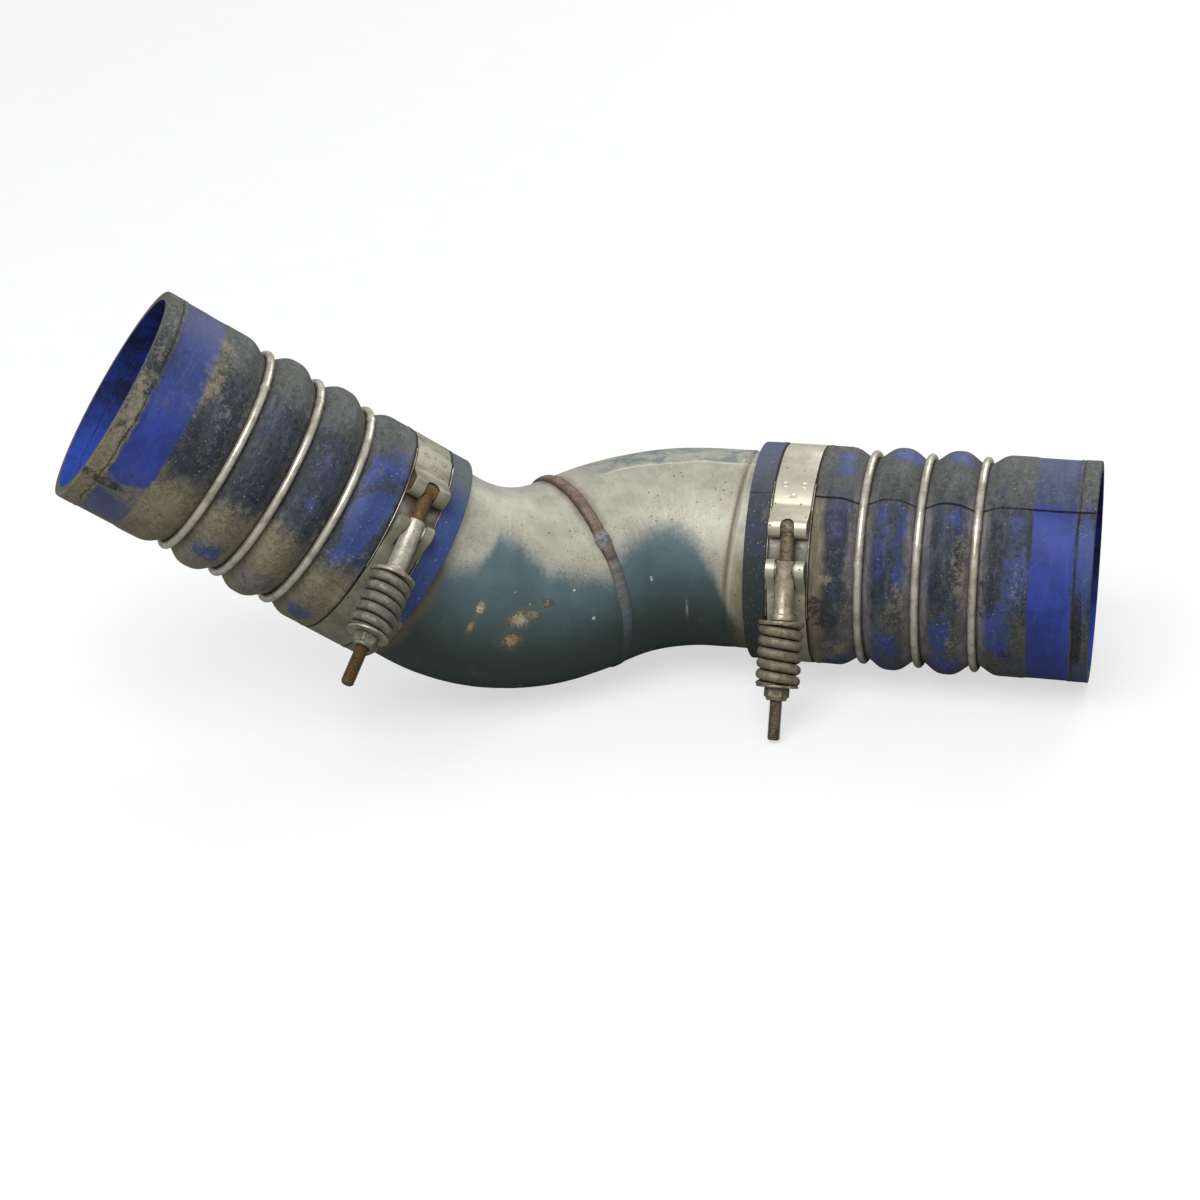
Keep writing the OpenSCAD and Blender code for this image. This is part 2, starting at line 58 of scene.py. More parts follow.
class Tone:
    """One socket of a finish. Sums, products and powers of tones add Math nodes to the finish."""

    def __init__(self, tree, socket):
        self.tree = tree
        self.socket = socket

    def node(self, kind, settings, inputs, output=0):
        made = self.tree.nodes.new("ShaderNode" + kind)
        for name, value in settings.items():
            if name == "stops":
                while len(made.color_ramp.elements) < len(value):
                    made.color_ramp.elements.new(1)
                for stop, (place, grey) in zip(made.color_ramp.elements, value):
                    stop.position = place
                    stop.color = (grey, grey, grey, 1)
            else:
                setattr(made, name, value)
        for name, value in inputs.items():
            if isinstance(value, Tone):
                self.tree.links.new(value.socket, made.inputs[name])
            else:
                made.inputs[name].default_value = value
        return Tone(self.tree, made.outputs[output])

    def math(self, operation, *values):
        return self.node("Math", {"operation": operation}, dict(enumerate(values)))

    def __add__(self, other):
        return self.math("ADD", self, other)

    def __radd__(self, other):
        return self.math("ADD", other, self)

    def __sub__(self, other):
        return self.math("SUBTRACT", self, other)

    def __rsub__(self, other):
        return self.math("SUBTRACT", other, self)

    def __mul__(self, other):
        return self.math("MULTIPLY", self, other)

    def __rmul__(self, other):
        return self.math("MULTIPLY", other, self)

    def __truediv__(self, other):
        return self.math("DIVIDE", self, other)

    def __pow__(self, other):
        return self.math("POWER", self, other)

    def __abs__(self):
        return self.math("ABSOLUTE", self)

    def least(self, other):
        return self.math("MINIMUM", self, other)

    def most(self, other):
        return self.math("MAXIMUM", self, other)

    def rise(self, low, high):
        """0 at low and 1 at high, eased at both ends; low may be the larger one."""
        return self.node(
            "MapRange", {"interpolation_type": "SMOOTHSTEP"}, {"Value": self, "From Min": low, "From Max": high})

    def curve(self, stops):
        """Value read off a line through stops (value of this tone, grey)."""
        low, high = stops[0][0], stops[-1][0]
        place = self.node("MapRange", {}, {"Value": self, "From Min": low, "From Max": high})
        return self.node(
            "ValToRGB", {"stops": [((at - low) / (high - low), grey) for at, grey in stops]}, {"Fac": place})

    def moved(self, shift):
        """This place, moved to another part of the noise."""
        return self.node("VectorMath", {"operation": "ADD"}, {0: self, 1: (shift, 1.7 * shift, 0.6 * shift)})

    def sine(self):
        """Sine of this tone in degrees."""
        return self.math("SINE", self * (math.pi / 180))

    def grain(self, size, detail=4, rough=0.6, swirl=0, shift=0):
        """Noise about 0.5, with spots of a size in millimetres, on a place in metres."""
        return self.node(
            "TexNoise", {}, {"Vector": self.moved(shift), "Scale": 1000 / size, "Detail": detail,
                             "Roughness": rough, "Distortion": swirl})

    def specks(self, size, shift=0):
        """Distance to scattered points, in cells of a size in millimetres."""
        return self.node("TexVoronoi", {}, {"Vector": self.moved(shift), "Scale": 1000 / size}, "Distance")

    def over(self, under, top):
        """Colour top where this mask is 1, on the colour under it. The Mix node's colours are sockets 6 and 7."""
        under, top = [paint if isinstance(paint, Tone) else colour(*paint) for paint in (under, top)]
        return self.node("Mix", {"data_type": "RGBA"}, {0: self, 6: under, 7: top}, 2)

    def coated(self, *coats):
        """This colour under coats of (mask, colour), the lowest one first."""
        face = self
        for mask, paint in coats:
            face = mask.over(face, paint)
        return face

    def field(self, name):
        """Number that the mesh of the piece carries at each point under a name."""
        return self.node("Attribute", {"attribute_name": name}, {}, "Fac")

    def hollow_shade(self, reach, clear, deep):
        """0 in the open and 1 deep in a corner, felt over a reach in metres, for painting shade into corners."""
        return self.node("AmbientOcclusion", {"samples": 8}, {"Distance": reach}, "AO").rise(clear, deep)

    def raised(self, millimetres):
        """Normal of a surface that this tone lifts by up to some millimetres."""
        return self.node("Bump", {}, {"Height": self, "Distance": 0.001 * millimetres}, "Normal")


def colour(red, green, blue):
    """Linear colour of a display colour with parts from 0 to 255."""
    return [((part / 255 + 0.055) / 1.055) ** 2.4 for part in (red, green, blue)] + [1]


def dimmed(tone, share):
    """A share of each part of a display colour."""
    return tuple(share * part for part in tone)


def new_finish(name):
    """Material, the tone of its place on the piece in metres, and its shader."""
    material = bpy.data.materials.new(name)
    material.use_nodes = True
    tree = material.node_tree
    place = Tone(tree, tree.nodes.new("ShaderNodeTexCoord").outputs["Object"])
    return material, place, tree.nodes["Principled BSDF"]


def dress(shader, sockets):
    """Put tones or plain values on a shader's sockets."""
    for name, value in sockets.items():
        if isinstance(value, Tone):
            value.tree.links.new(value.socket, shader.inputs[name])
        else:
            shader.inputs[name].default_value = value


def seen_directly(tone):
    """1 for rays from the camera and 0 for light that is bounced about."""
    return tone.node("LightPath", {}, {}, "Is Camera Ray")


FLOOR_HALF = 6
floor_mesh = bpy.data.meshes.new("studio_floor")
floor_mesh.from_pydata(
    [(x * FLOOR_HALF, y * FLOOR_HALF, 0) for x, y in ((-1, -1), (1, -1), (1, 1), (-1, 1))], [], [(0, 1, 2, 3)])
floor = bpy.data.objects.new("studio_floor", floor_mesh)
scene.collection.objects.link(floor)
floor_finish, floor_place, floor_shader = new_finish("floor_sheet")
floor_paper = floor_place.grain(40).rise(0.3, 0.7)
dress(floor_shader, {
    "Base Color": seen_directly(floor_place).over(
        (150, 150, 148), floor_paper.over((246, 246, 245), (249, 249, 249))),
    "Roughness": 0.95,
    "Specular IOR Level": 0.1,
})
# The camera sees part of the sheet's own light, and more of it further off, where the sheet fades into the sky.
GLOW_SHARE = 0.62
glow = floor_place.node("Emission", {}, {"Color": (1, 1, 1, 1), "Strength": 1})
sheet = Tone(floor_place.tree, floor_shader.outputs["BSDF"])
far_off = floor_place.node("VectorMath", {"operation": "LENGTH"}, {0: floor_place}, "Value").rise(0.7, 3.5)
glow_share = seen_directly(floor_place) * (GLOW_SHARE + far_off * (1 - GLOW_SHARE))
lit_sheet = floor_place.node("MixShader", {}, {0: glow_share, 1: sheet, 2: glow})
floor_place.tree.links.new(lit_sheet.socket, floor_place.tree.nodes["Material Output"].inputs["Surface"])
floor_mesh.materials.append(floor_finish)

scene.world = bpy.data.worlds.new("studio")
scene.world.use_nodes = True
sky = scene.world.node_tree.nodes["Background"]
sky_tone = Tone(scene.world.node_tree, sky.outputs[0])
dress(sky, {"Color": seen_directly(sky_tone).over((192, 194, 197), (255, 255, 255)), "Strength": 1})

# Name, place, point that it looks at, diameter and watts.
LAMPS = [
    ("soft_box", (-0.35, -0.9, 1.7), (0.0, 0.03, 0.1), 1.5, 26),
    ("back_fill", (0.9, 1.5, 1.2), (0.0, 0.03, 0.1), 1.2, 11),
]
for lamp_name, lamp_place, aim, lamp_size, watts in LAMPS:
    lamp = bpy.data.objects.new(lamp_name, bpy.data.lights.new(lamp_name, "AREA"))
    lamp.data.shape = "DISK"
    lamp.data.size = lamp_size
    lamp.data.energy = watts
    lamp.location = lamp_place
    lamp.rotation_euler = (Vector(aim) - Vector(lamp_place)).to_track_quat("-Z", "Y").to_euler()
    scene.collection.objects.link(lamp)

# Steel elbows.
# Two short bends of 4 inch steel tube, each with a straight stub that goes into a hose. They were sprayed with
# blue-grey paint, which is worn to bare steel on the upper half, and a turned crease runs round the right stub.
MM = 0.001
PIPE_R = 50.8
PIPE_WALL = 1.6
BEND_RADIUS = 90
PIPE_INSERT = 38
BEAD_SETBACK = 4
BEAD_HALF = 2.5
BEAD_H = 1.2
CREASE_X = 12
CREASE_SHIFT = 2.6
CREASE_SLANT = 0.05
CREASE_DEPTH = 0.6
CREASE_HALF = 1.6
BACK_PAINT_TURNS = (146, 160)
LAMP_TILT = math.radians(27)
SHARP_ANGLE = math.radians(35)


def turned_x(angle):
    c, s = math.cos(math.radians(angle)), math.sin(math.radians(angle))
    return np.array([[1, 0, 0], [0, c, -s], [0, s, c]])


def turned_y(angle):
    c, s = math.cos(math.radians(angle)), math.sin(math.radians(angle))
    return np.array([[c, 0, s], [0, 1, 0], [-s, 0, c]])


# Each side of the pipe as it leaves the weld: how it is turned, its straight land, its bend and its bare stub.
SIDES = {
    "left": {"turn": turned_x(237) @ np.diag([-1, -1, 1]), "land": 6, "bend": 48, "stub": 11},
    "right": {"turn": np.eye(3), "land": 10, "bend": 42, "stub": 22},
}
for side in SIDES.values():
    side["leg_turn"] = side["turn"] @ turned_y(side["bend"])
    side["leg_start"] = (
        side["turn"] @ np.array([side["land"], 0, -BEND_RADIUS]) + side["leg_turn"][:, 2] * BEND_RADIUS)

# The record gives each free port's place and axis, and they say how the pipe lies on the floor.
PORT_RUN = 147.75
ports = {mount["name"]: mount for mount in frame["record"]["mounts"]}


def trio(first, second):
    """Axes of the plane through two directions, the first of them along its first axis."""
    third = np.cross(first, second)
    third = third / np.linalg.norm(third)
    first = first / np.linalg.norm(first)
    return np.column_stack([first, np.cross(third, first), third])


port_axes = [np.array(ports[name]["axis"]) for name in ("left_port", "right_port")]
LAID = trio(*port_axes) @ trio(SIDES["left"]["leg_turn"][:, 0], SIDES["right"]["leg_turn"][:, 0]).T
right_side = SIDES["right"]
port_here = right_side["leg_start"] + right_side["leg_turn"][:, 0] * (right_side["stub"] + PORT_RUN)
WELD_PLACE = 1000 * np.array(ports["right_port"]["pos_m"]) - LAID @ port_here


def laid_at(turn, start):
    """Matrix of a frame given in the pipe's own frame, whose origin is the middle of the weld."""
    placed = Matrix.Identity(4)
    axes = LAID @ turn
    origin = (WELD_PLACE + LAID @ np.array(start)) * MM
    for row in range(3):
        for column in range(3):
            placed[row][column] = axes[row][column]
        placed[row][3] = origin[row]
    return placed


def leg_at(side, past_stub, clock=np.eye(3)):
    """Matrix of a frame on a side's straight leg, some millimetres past the bare stub."""
    return laid_at(side["leg_turn"] @ clock, side["leg_start"] + side["leg_turn"][:, 0] * (side["stub"] + past_stub))


LAMP_WAY = np.array([0, -math.cos(LAMP_TILT), math.sin(LAMP_TILT)])
UP_WAY = np.array([0, math.sin(LAMP_TILT), math.cos(LAMP_TILT)])


def turn_of(matrix, outward):
    """Degrees round a tube from its face that looks at the studio lamp: 90 is its upper edge, -90 its lower one."""
    ways = outward @ np.array(matrix.to_3x3()).T
    return np.degrees(np.arctan2(ways @ UP_WAY, ways @ LAMP_WAY))


def skin(name, grid, matrix, loop=True, **fields):
    """Closed surface through rows of points, in millimetres of a frame, with a number per point for each field."""
    rows, columns = grid.shape[:2]
    i, j = np.meshgrid(np.arange(rows if loop else rows - 1), np.arange(columns), indexing="ij")
    below, beside = (i + 1) % rows, (j + 1) % columns
    corners = [i * columns + j, i * columns + beside, below * columns + beside, below * columns + j]
    quads = np.stack(corners, -1).reshape(-1, 4)
    loose = grid.reshape(-1, 3) - grid.reshape(-1, 3).mean(axis=0)
    facing = np.cross(loose[quads[:, 1]], loose[quads[:, 3]])
    inside_out = np.einsum("ij,ij->i", loose[quads[:, 0]], facing).sum() < 0
    faces = quads.tolist()
    if not loop:
        faces += [list(range(columns))[::-1], list(range((rows - 1) * columns, rows * columns))]
    if inside_out:
        faces = [face[::-1] for face in faces]
    mesh = bpy.data.meshes.new(name)
    placed = grid.reshape(-1, 3) * MM @ np.array(matrix.to_3x3()).T + np.array(matrix.translation)
    mesh.from_pydata(placed.tolist(), [], faces)
    mesh.shade_smooth()
    mesh.set_sharp_from_angle(angle=SHARP_ANGLE)
    for field, values in fields.items():
        values, domain = np.ravel(values).astype(np.float32), "POINT"
        if field == "turn":
            # Kept per face corner, so that the face where 180 meets -180 doesn't run through every angle between.
            values, domain = values[np.array(faces)], "CORNER"
            values += 360 * (np.ptp(values, axis=1, keepdims=True) > 180) * (values < 0)
        mesh.attributes.new(field, "FLOAT", domain).data.foreach_set("value", np.ravel(values).astype(np.float32))
    piece = bpy.data.objects.new(name, mesh)
    scene.collection.objects.link(piece)
    return piece


def wander(points, size, amount, seed):
    """Gentle seeded unevenness in millimetres for points in millimetres."""
    flat = points.reshape(-1, 3) / size + seed
    return amount * np.array([noise.noise(Vector(p)) for p in flat]).reshape(points.shape[:-1])


def bump_at(values, middle, half, height):
    """Rounded ridge or groove across values."""
    return height * np.clip(1 - ((values - middle) / half) ** 2, 0, 1) ** 1.5


def make_elbow(name, side, creased, seed):
    """Tube with its wall, from the weld through the land, the bend and the stub to the end inside the hose."""
    land, bend, leg = side["land"], side["bend"], side["stub"] + PIPE_INSERT
    bend_run = land + BEND_RADIUS * math.radians(bend)
    pivot = np.array([land, 0, -BEND_RADIUS])
    stations = [(np.array([x, 0, 0]), np.array([0, 0, 1.0]), x, -1) for x in np.linspace(0, land, 5)[:-1]]
    for angle in np.linspace(0, bend, 2 * int(bend / 1.6) + 1)[:-1]:
        up = turned_y(angle)[:, 2]
        stations.append((pivot + BEND_RADIUS * up, up, land + BEND_RADIUS * math.radians(angle), -1))
    up, along = turned_y(bend)[:, 2], turned_y(bend)[:, 0]
    leg_runs = np.unique(np.concatenate([
        np.arange(0, leg, 1.5), np.arange(4, 20, 0.4), np.arange(leg - 9, leg, 0.6), [leg]]))
    for x in leg_runs:
        stations.append((pivot + BEND_RADIUS * up + x * along, up, bend_run + x, x))
    centres, ups, runs, leg_x = [np.array(column)[:, None] for column in zip(*stations)]

    around = np.radians(np.arange(0, 360, 1.5))
    outward = ups * np.cos(around)[None, :, None] + np.array([0, 1.0, 0]) * np.sin(around)[None, :, None]
    radius = np.full((len(stations), len(around)), PIPE_R)
    radius += bump_at(leg_x, leg - BEAD_SETBACK, BEAD_HALF, BEAD_H)
    matrix = laid_at(side["turn"], (0, 0, 0))
    turn = np.broadcast_to(turn_of(matrix, outward), radius.shape)
    past_crease = np.full(radius.shape, -99.0)
    if creased:
        slanted = CREASE_SLANT * np.clip(turn, -60, 80)
        past_crease = leg_x - CREASE_X - CREASE_SHIFT - slanted - 0.5 * np.sin(np.radians(turn) * 3)
        deep = np.clip((turn + 75) / 30, 0.15, 1)
        radius -= deep * bump_at(past_crease, 0, CREASE_HALF, CREASE_DEPTH)
        radius += deep * 0.4 * np.clip((past_crease - 0.8) / 1.4, 0, 1) * np.clip((6.5 - past_crease) / 5, 0, 1)
    shown = np.clip((bend_run + side["stub"] - 2 - runs) / 6, 0, 1) * np.clip((runs - 3) / 6, 0, 1)
    outer = centres + outward * radius[..., None]
    radius += shown * (wander(outer, 34, 0.3, seed) + wander(outer, 9, 0.07, seed + 5))
    outer = centres + outward * radius[..., None]
    inner = np.broadcast_to(centres + outward * (PIPE_R - PIPE_WALL), outer.shape)

    def both_faces(values):
        return np.concatenate([values, values[::-1]])

    lining = np.concatenate([np.zeros(radius.shape), np.ones(radius.shape)])
    return skin(
        name, np.concatenate([outer, inner[::-1]]), matrix, run=both_faces(np.broadcast_to(runs, radius.shape)),
        turn=both_faces(turn), crease=both_faces(past_crease), lining=lining)


def elbow_finish(name, shift, paint_edge, top_paint, stub_run, chips):
    """Worn bare steel under sprayed paint, which stops at the degrees that paint_edge gives along the run."""
    material, place, shader = new_finish(name)
    run, turn, crease, lining = [place.field(field) for field in ("run", "turn", "crease", "lining")]
    height = turn.sine()
    drips = place.node("CombineXYZ", {}, {"X": run * MM, "Y": turn * 0.0002, "Z": 0.01})
    cloud = place.grain(30, 5, 0.62, 0.3, shift)
    spray = place.grain(2.2, 4, 0.75, 0, shift + 0.1)
    pale = place.grain(11, 5, 0.6, 0.2, shift + 0.2)
    ragged = place.grain(4, 6, 0.75, 0.6, shift + 0.7)

    # Paint is left below its sprayed edge, on the back, and on the right elbow in a scuffed band along the top.
    edge = (run.curve([(at, (value + 180) / 360) for at, value in paint_edge]) * 360 - 180
            + (cloud - 0.5) * 7 + (pale - 0.5) * 13 + (spray - 0.5) * 12)
    painted = (edge - turn).rise(-8, 10)
    painted = painted.most((turn + (cloud - 0.5) * 16 + (spray - 0.5) * 8).rise(*BACK_PAINT_TURNS))
    if top_paint:
        along_top = (turn + (cloud - 0.5) * 10 + (spray - 0.5) * 6).rise(top_paint - 1, top_paint + 3)
        scuffed = place.grain(13, 5, 0.68, 0.3, shift + 0.35).rise(0.56, 0.4) * 0.62 + 0.14
        scuffed = scuffed.most(turn.rise(122, 140) * 0.8)
        painted = painted.most(along_top * scuffed * (run + (pale - 0.5) * 14).rise(9, 30))

    dusky = place.grain(22, 5, 0.66, 0.4, shift + 0.9).rise(0.5, 0.75)
    pits = place.specks(4, shift).rise(0.17, 0.09) * place.grain(16, 3, 0.6, 0, shift + 0.4).rise(0.48, 0.6)
    by_edge = abs(edge - turn + 6).rise(18, 3) + run.rise(stub_run - 34, stub_run - 8) * 0.7 + 0.08
    grit = place.grain(1.0, 3, 0.75, 0, shift + 0.45).rise(0.57, 0.66) * by_edge.least(1)
    steel = pale.rise(0.3, 0.7).over((164, 161, 145), (184, 181, 164)).coated(
        (drips.grain(2.6, 3, 0.6, 0, shift).rise(0.5, 0.75) * 0.35, (206, 203, 188)),
        (drips.grain(5, 4, 0.65, 0, shift + 0.7).rise(0.52, 0.75) * 0.35, (148, 144, 128)),
        (turn.rise(50, 86) * 0.3, (140, 143, 130)),
        (dusky * 0.3, (124, 118, 98)),
        (pits * 0.75, (72, 62, 50)),
        (grit * 0.6, (84, 80, 70)))
    # A painted highlight runs as a thin light line along the edge of the paint band on top.
    if top_paint:
        paint_edge_highlight = abs(turn + (cloud - 0.5) * 10 - top_paint).rise(1.1, 0.3) * run.rise(14, 30) * 0.6
        steel = paint_edge_highlight.over(steel, (216, 214, 200))
    # The paint is darker and greener on its lower side: painted shade, with some grime.
    blue = place.grain(24, 4, 0.6, 0.2, shift + 0.5).rise(0.3, 0.7).over((76, 95, 101), (90, 110, 115)).coated(
        (height.rise(0.07, -0.83), (56, 70, 64)),
        (place.grain(13, 5, 0.65, 0.4, shift + 0.6).rise(0.52, 0.74) * 0.4, (88, 92, 80)),
        (drips.grain(3.4, 4, 0.7, 0, shift + 0.2).rise(0.6, 0.75) * 0.2, (120, 128, 124)),
        (place.grain(2.6, 4, 0.75, 0, shift + 0.8).rise(0.6, 0.7) * 0.25, (58, 66, 62)))

    flakes = place.specks(21, shift + 0.2).rise(0.045, 0.03)
    crumbs = place.specks(3.1, shift + 0.5).rise(0.13, 0.08) * place.grain(20, 3, 0.6, 0, shift).rise(0.58, 0.66)
    face = painted.over(steel, blue).coated((flakes * 0.8, (196, 200, 190)), (crumbs * 0.5, (70, 64, 50)))
    bare = flakes
    for chip_run, chip_turn, half_run, half_turn, tone in chips:
        reach = (((run - chip_run) / half_run) ** 2 + ((turn - chip_turn) / half_turn) ** 2) ** 0.5
        chip = (reach + (ragged - 0.5) * 4.6).rise(1.05, 0.9)
        face = face.coated(
            ((reach + (ragged - 0.5) * 3).rise(1.9, 0.8) * 0.35, (112, 112, 88)),
            (chip, ragged.rise(0.4, 0.6).over(dimmed(tone, 0.62), tone)))
        bare = bare.most(chip)
    grime = (run + (cloud - 0.5) * 12).rise(stub_run - 9, stub_run - 1)
    grime = grime * (height + (pale - 0.5) * 0.85).rise(0.2, -0.37)
    crease_shade = crease.rise(-3.2, -0.4) * crease.rise(0.9, -0.2)
    face = face.coated(
        (grime * 0.75, (126, 114, 78)),
        # Painted shade in the fold of the crease, mostly on the tube's lower side.
        (crease_shade * (height + (pale - 0.5) * 0.4).rise(-0.79, -0.34) * 0.7, (110, 92, 70)),
        # Painted highlight along the ridge beside the crease.
        (abs(crease - 1.4).rise(1.0, 0.2) * 0.45 * height.rise(-0.87, -0.17), (202, 200, 184)),
        ((run + (pale - 0.5) * 5).rise(7.5, 3.2) * height.rise(0, 0.64) * 0.5, (112, 88, 68)),
        (lining, place.grain(9, 4, 0.6, 0, shift).rise(0.3, 0.7).over((48, 46, 42), (86, 82, 74))))
    shine = 1 - painted.most(bare).most(grime * 0.7)
    dress(shader, {
        "Base Color": face,
        "Metallic": shine * 0.3,
        "Roughness": 0.5 + painted * 0.06 + (pale - 0.5) * 0.1 + bare * 0.2 + grime * 0.2 + dusky * 0.1,
        "Specular IOR Level": 0.3,
        "Normal": (painted * 0.35 - bare * 0.5 - pits * 0.3 + pale * 0.12 + spray * 0.08).raised(0.3),
    })
    return material


# Each elbow's seed and wear. A chip is (run, turn, half its run, half its turn, colour), in millimetres and degrees.
ELBOW_SEEDS = {"left": 3.1, "right": 8.4}
ELBOW_WEAR = {
    "left": {
        "shift": 0.0, "top_paint": 0, "stub_run": 92,
        "paint_edge": [
            (0, -4), (10, 0), (20, 6), (29, 9), (36, 8), (43, 17), (48, 21), (53, 26), (67, 26), (70, 16), (74, 5),
            (80, 0), (95, -3)],
        "chips": [
            (66.5, -18, 1.6, 3.8, (204, 196, 168)), (67, -28, 1.3, 3.0, (164, 146, 116)),
            (48.5, -20, 4.4, 4.6, (176, 168, 136)), (43.5, -17, 3.4, 3.0, (140, 136, 112)),
            (50, -33, 3.6, 4.2, (170, 150, 112)), (37, -10, 2.4, 2.6, (128, 130, 112)),
            (23.6, -4, 0.9, 1.2, (222, 224, 216)), (16, 3, 0.9, 1.1, (214, 216, 206)),
            (16, -24, 1.0, 1.6, (206, 208, 196))],
    },
    "right": {
        "shift": 0.9, "top_paint": 57, "stub_run": 98,
        "paint_edge": [
            (0, 4), (6, 8), (12, 12), (28, 13), (42, 12), (52, 12), (62, 8), (70, 3), (77, -4), (83, -14), (88, -30),
            (94, -48), (100, -62)],
        "chips": [(60, -38, 1.4, 6, (150, 154, 146)), (24, -14, 1.3, 1.8, (222, 226, 222))],
    },
}
for side_name, wear in ELBOW_WEAR.items():
    elbow = make_elbow(f"{side_name}_elbow_tube", SIDES[side_name], side_name == "right", ELBOW_SEEDS[side_name])
    elbow.data.materials.append(elbow_finish(f"{side_name}_tube_paint", **wear))
    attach(elbow, "root")
    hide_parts(f"{side_name}_elbow")

# Weld bead.
# The run of filler that joins the elbows was laid by hand in overlapping pools, higher and wider on top than
# below. It is rusty where the tube is bare, has a lump and a pit where the welder stopped, and is painted below.
WELD_H = 1.3
WELD_LEAN = 0.8
WELD_HALF = 3.4
WELD_SINK = 0.25
LUMP_TURN = 18
PIT_TURN = 6
bead_around = np.radians(np.arange(0, 360, 0.4))
bead_across = np.radians(np.arange(0, 181, 9))
bead_outward = np.stack([0 * bead_around, np.sin(bead_around), np.cos(bead_around)], -1)
bead_matrix = laid_at(np.eye(3), (0, 0, 0))
bead_turn = turn_of(bead_matrix, bead_outward)
lean = WELD_LEAN * -bead_outward[:, 1]
pools = 0.5 + 0.5 * np.sin(np.radians(bead_turn) * 62 + 1.3 * np.sin(np.radians(bead_turn) * 9))
height = (WELD_H + lean) * (0.94 + 0.06 * pools)
height += bump_at(bead_turn, LUMP_TURN, 5, 0.9) - bump_at(bead_turn, PIT_TURN, 2.4, 0.9)
height += bump_at(bead_turn, PIT_TURN - 5, 3, 0.4)
half_width = WELD_HALF * (0.84 + 0.16 * -bead_outward[:, 1] + 0.04 * pools + bump_at(bead_turn, LUMP_TURN, 6, 0.22))
half_width += 0.35 * np.array([noise.noise(Vector((5 * math.cos(a), 5 * math.sin(a), 2.0))) for a in bead_around])
drift = 0.7 * np.array([noise.noise(Vector((3 * math.cos(a), 3 * math.sin(a), 7.0))) for a in bead_around])
bead_rows = []
for across in bead_across:
    radius = PIPE_R - WELD_SINK + (np.maximum(height, 0.35) + WELD_SINK) * np.sin(across) ** 0.8
    place_x = half_width * np.cos(across) + drift
    bead_rows.append(np.stack([place_x, radius * bead_outward[:, 1], radius * bead_outward[:, 2]], -1))
bead_shape = (len(bead_rows), len(bead_turn))
weld_bead = skin(
    "weld_run", np.array(bead_rows), bead_matrix, turn=np.broadcast_to(bead_turn, bead_shape),
    rim=np.broadcast_to(abs(np.cos(bead_across))[:, None], bead_shape))
weld_finish, weld_place, weld_shader = new_finish("weld_rust")
weld_turn, weld_rim = weld_place.field("turn"), weld_place.field("rim")
weld_cloud = weld_place.grain(6, 5, 0.65, 0.4)
weld_fine = weld_place.grain(1.4, 4, 0.7)
weld_height = weld_turn.sine()
weld_rusty = (weld_height + (weld_cloud - 0.5) * 0.45).rise(0, 0.22)
weld_painted = (weld_height + (weld_cloud - 0.5) * 0.27).rise(-0.31, -0.5)
in_pit = abs(weld_turn - PIT_TURN + (weld_cloud - 0.5) * 9).rise(4, 1) * weld_fine.rise(0.44, 0.58)
weld_face = weld_fine.rise(0.35, 0.65).over((98, 98, 98), (120, 118, 114)).coated(
    (weld_rusty, weld_cloud.rise(0.35, 0.65).over((98, 80, 68), (132, 110, 96))),
    (weld_rusty * weld_fine.rise(0.52, 0.64) * 0.7, (82, 64, 54)),
    (weld_rusty * (weld_rim + (weld_fine - 0.5) * 0.9).rise(0.35, 0.85) * 0.85, (66, 50, 42)),
    (abs(weld_turn - LUMP_TURN).rise(6, 3) * 0.9, weld_fine.rise(0.4, 0.6).over((84, 84, 86), (138, 138, 138))),
    # Below the rust the bead carries the elbows' paint, darker on its lower side: painted shade, with some grime.
    (weld_painted, weld_height.rise(-0.34, -0.9).over((82, 101, 107), (56, 70, 64))),
    (in_pit * 0.8, (84, 60, 50)))
dress(weld_shader, {
    "Base Color": weld_face,
    "Metallic": 0.25 * (1 - weld_painted) * (1 - weld_rusty),
    "Roughness": 0.62 + (weld_fine - 0.5) * 0.3,
    "Normal": (weld_fine * 0.4 + weld_cloud * 0.6).raised(0.5),
})
weld_bead.data.materials.append(weld_finish)
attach(weld_bead, "root")
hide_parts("weld_bead")

# Hump hoses.
# Four plies of fabric in blue silicone, wrapped on a mandrel and cured, with two humps between three valleys for
# the support rings. The outer ply ends in a lengthways lap. Old clamps left a clean band near each free rim, and
# road soot and dust cover most of the rest.
HOSE_LENGTH = 169
HOSE_WALL = 4.6
HOSE_BORE_R = 50.85
CUFF_R = 55.45
HUMP_R = 56.45
VALLEY_R = 50.25
RING_PITCH = 28
HOSE_MID = 84.5
RIM_ROUND = 0.5
CLAMP_RUN = 22
BAND_HALF = 9.5
GROOVE_DEPTH = 0.8
BRIDGE_IN_R = 54.05
BRIDGE_HALF = 10.5
BRIDGE_TURN = 37
IMPRINT_RUN = 148
IMPRINT_HALF = 11
IMPRINT_DEPTH = 0.3
OUTER_PLY_END = 8.2
PLY_LINE_RUN = 161
CLEAN_RUN = 149.3
CLEAN_HALF = 10.4


def hose_radius(run):
    """Outer radius along the hose, before the marks of use."""
    offset = run - HOSE_MID
    crest = np.where(abs(offset) < RING_PITCH, HUMP_R, CUFF_R)
    wave = np.where(abs(offset) < 1.5 * RING_PITCH, abs(np.cos(np.pi * offset / RING_PITCH)) ** 3, 0)
    return crest - (crest - VALLEY_R) * wave


def hoops(x, radius, ways):
    """Points of some radius round an axis, at distances x along it."""
    return np.stack([x + 0 * radius * ways[:, 1], radius * ways[:, 1], radius * ways[:, 2]], -1)


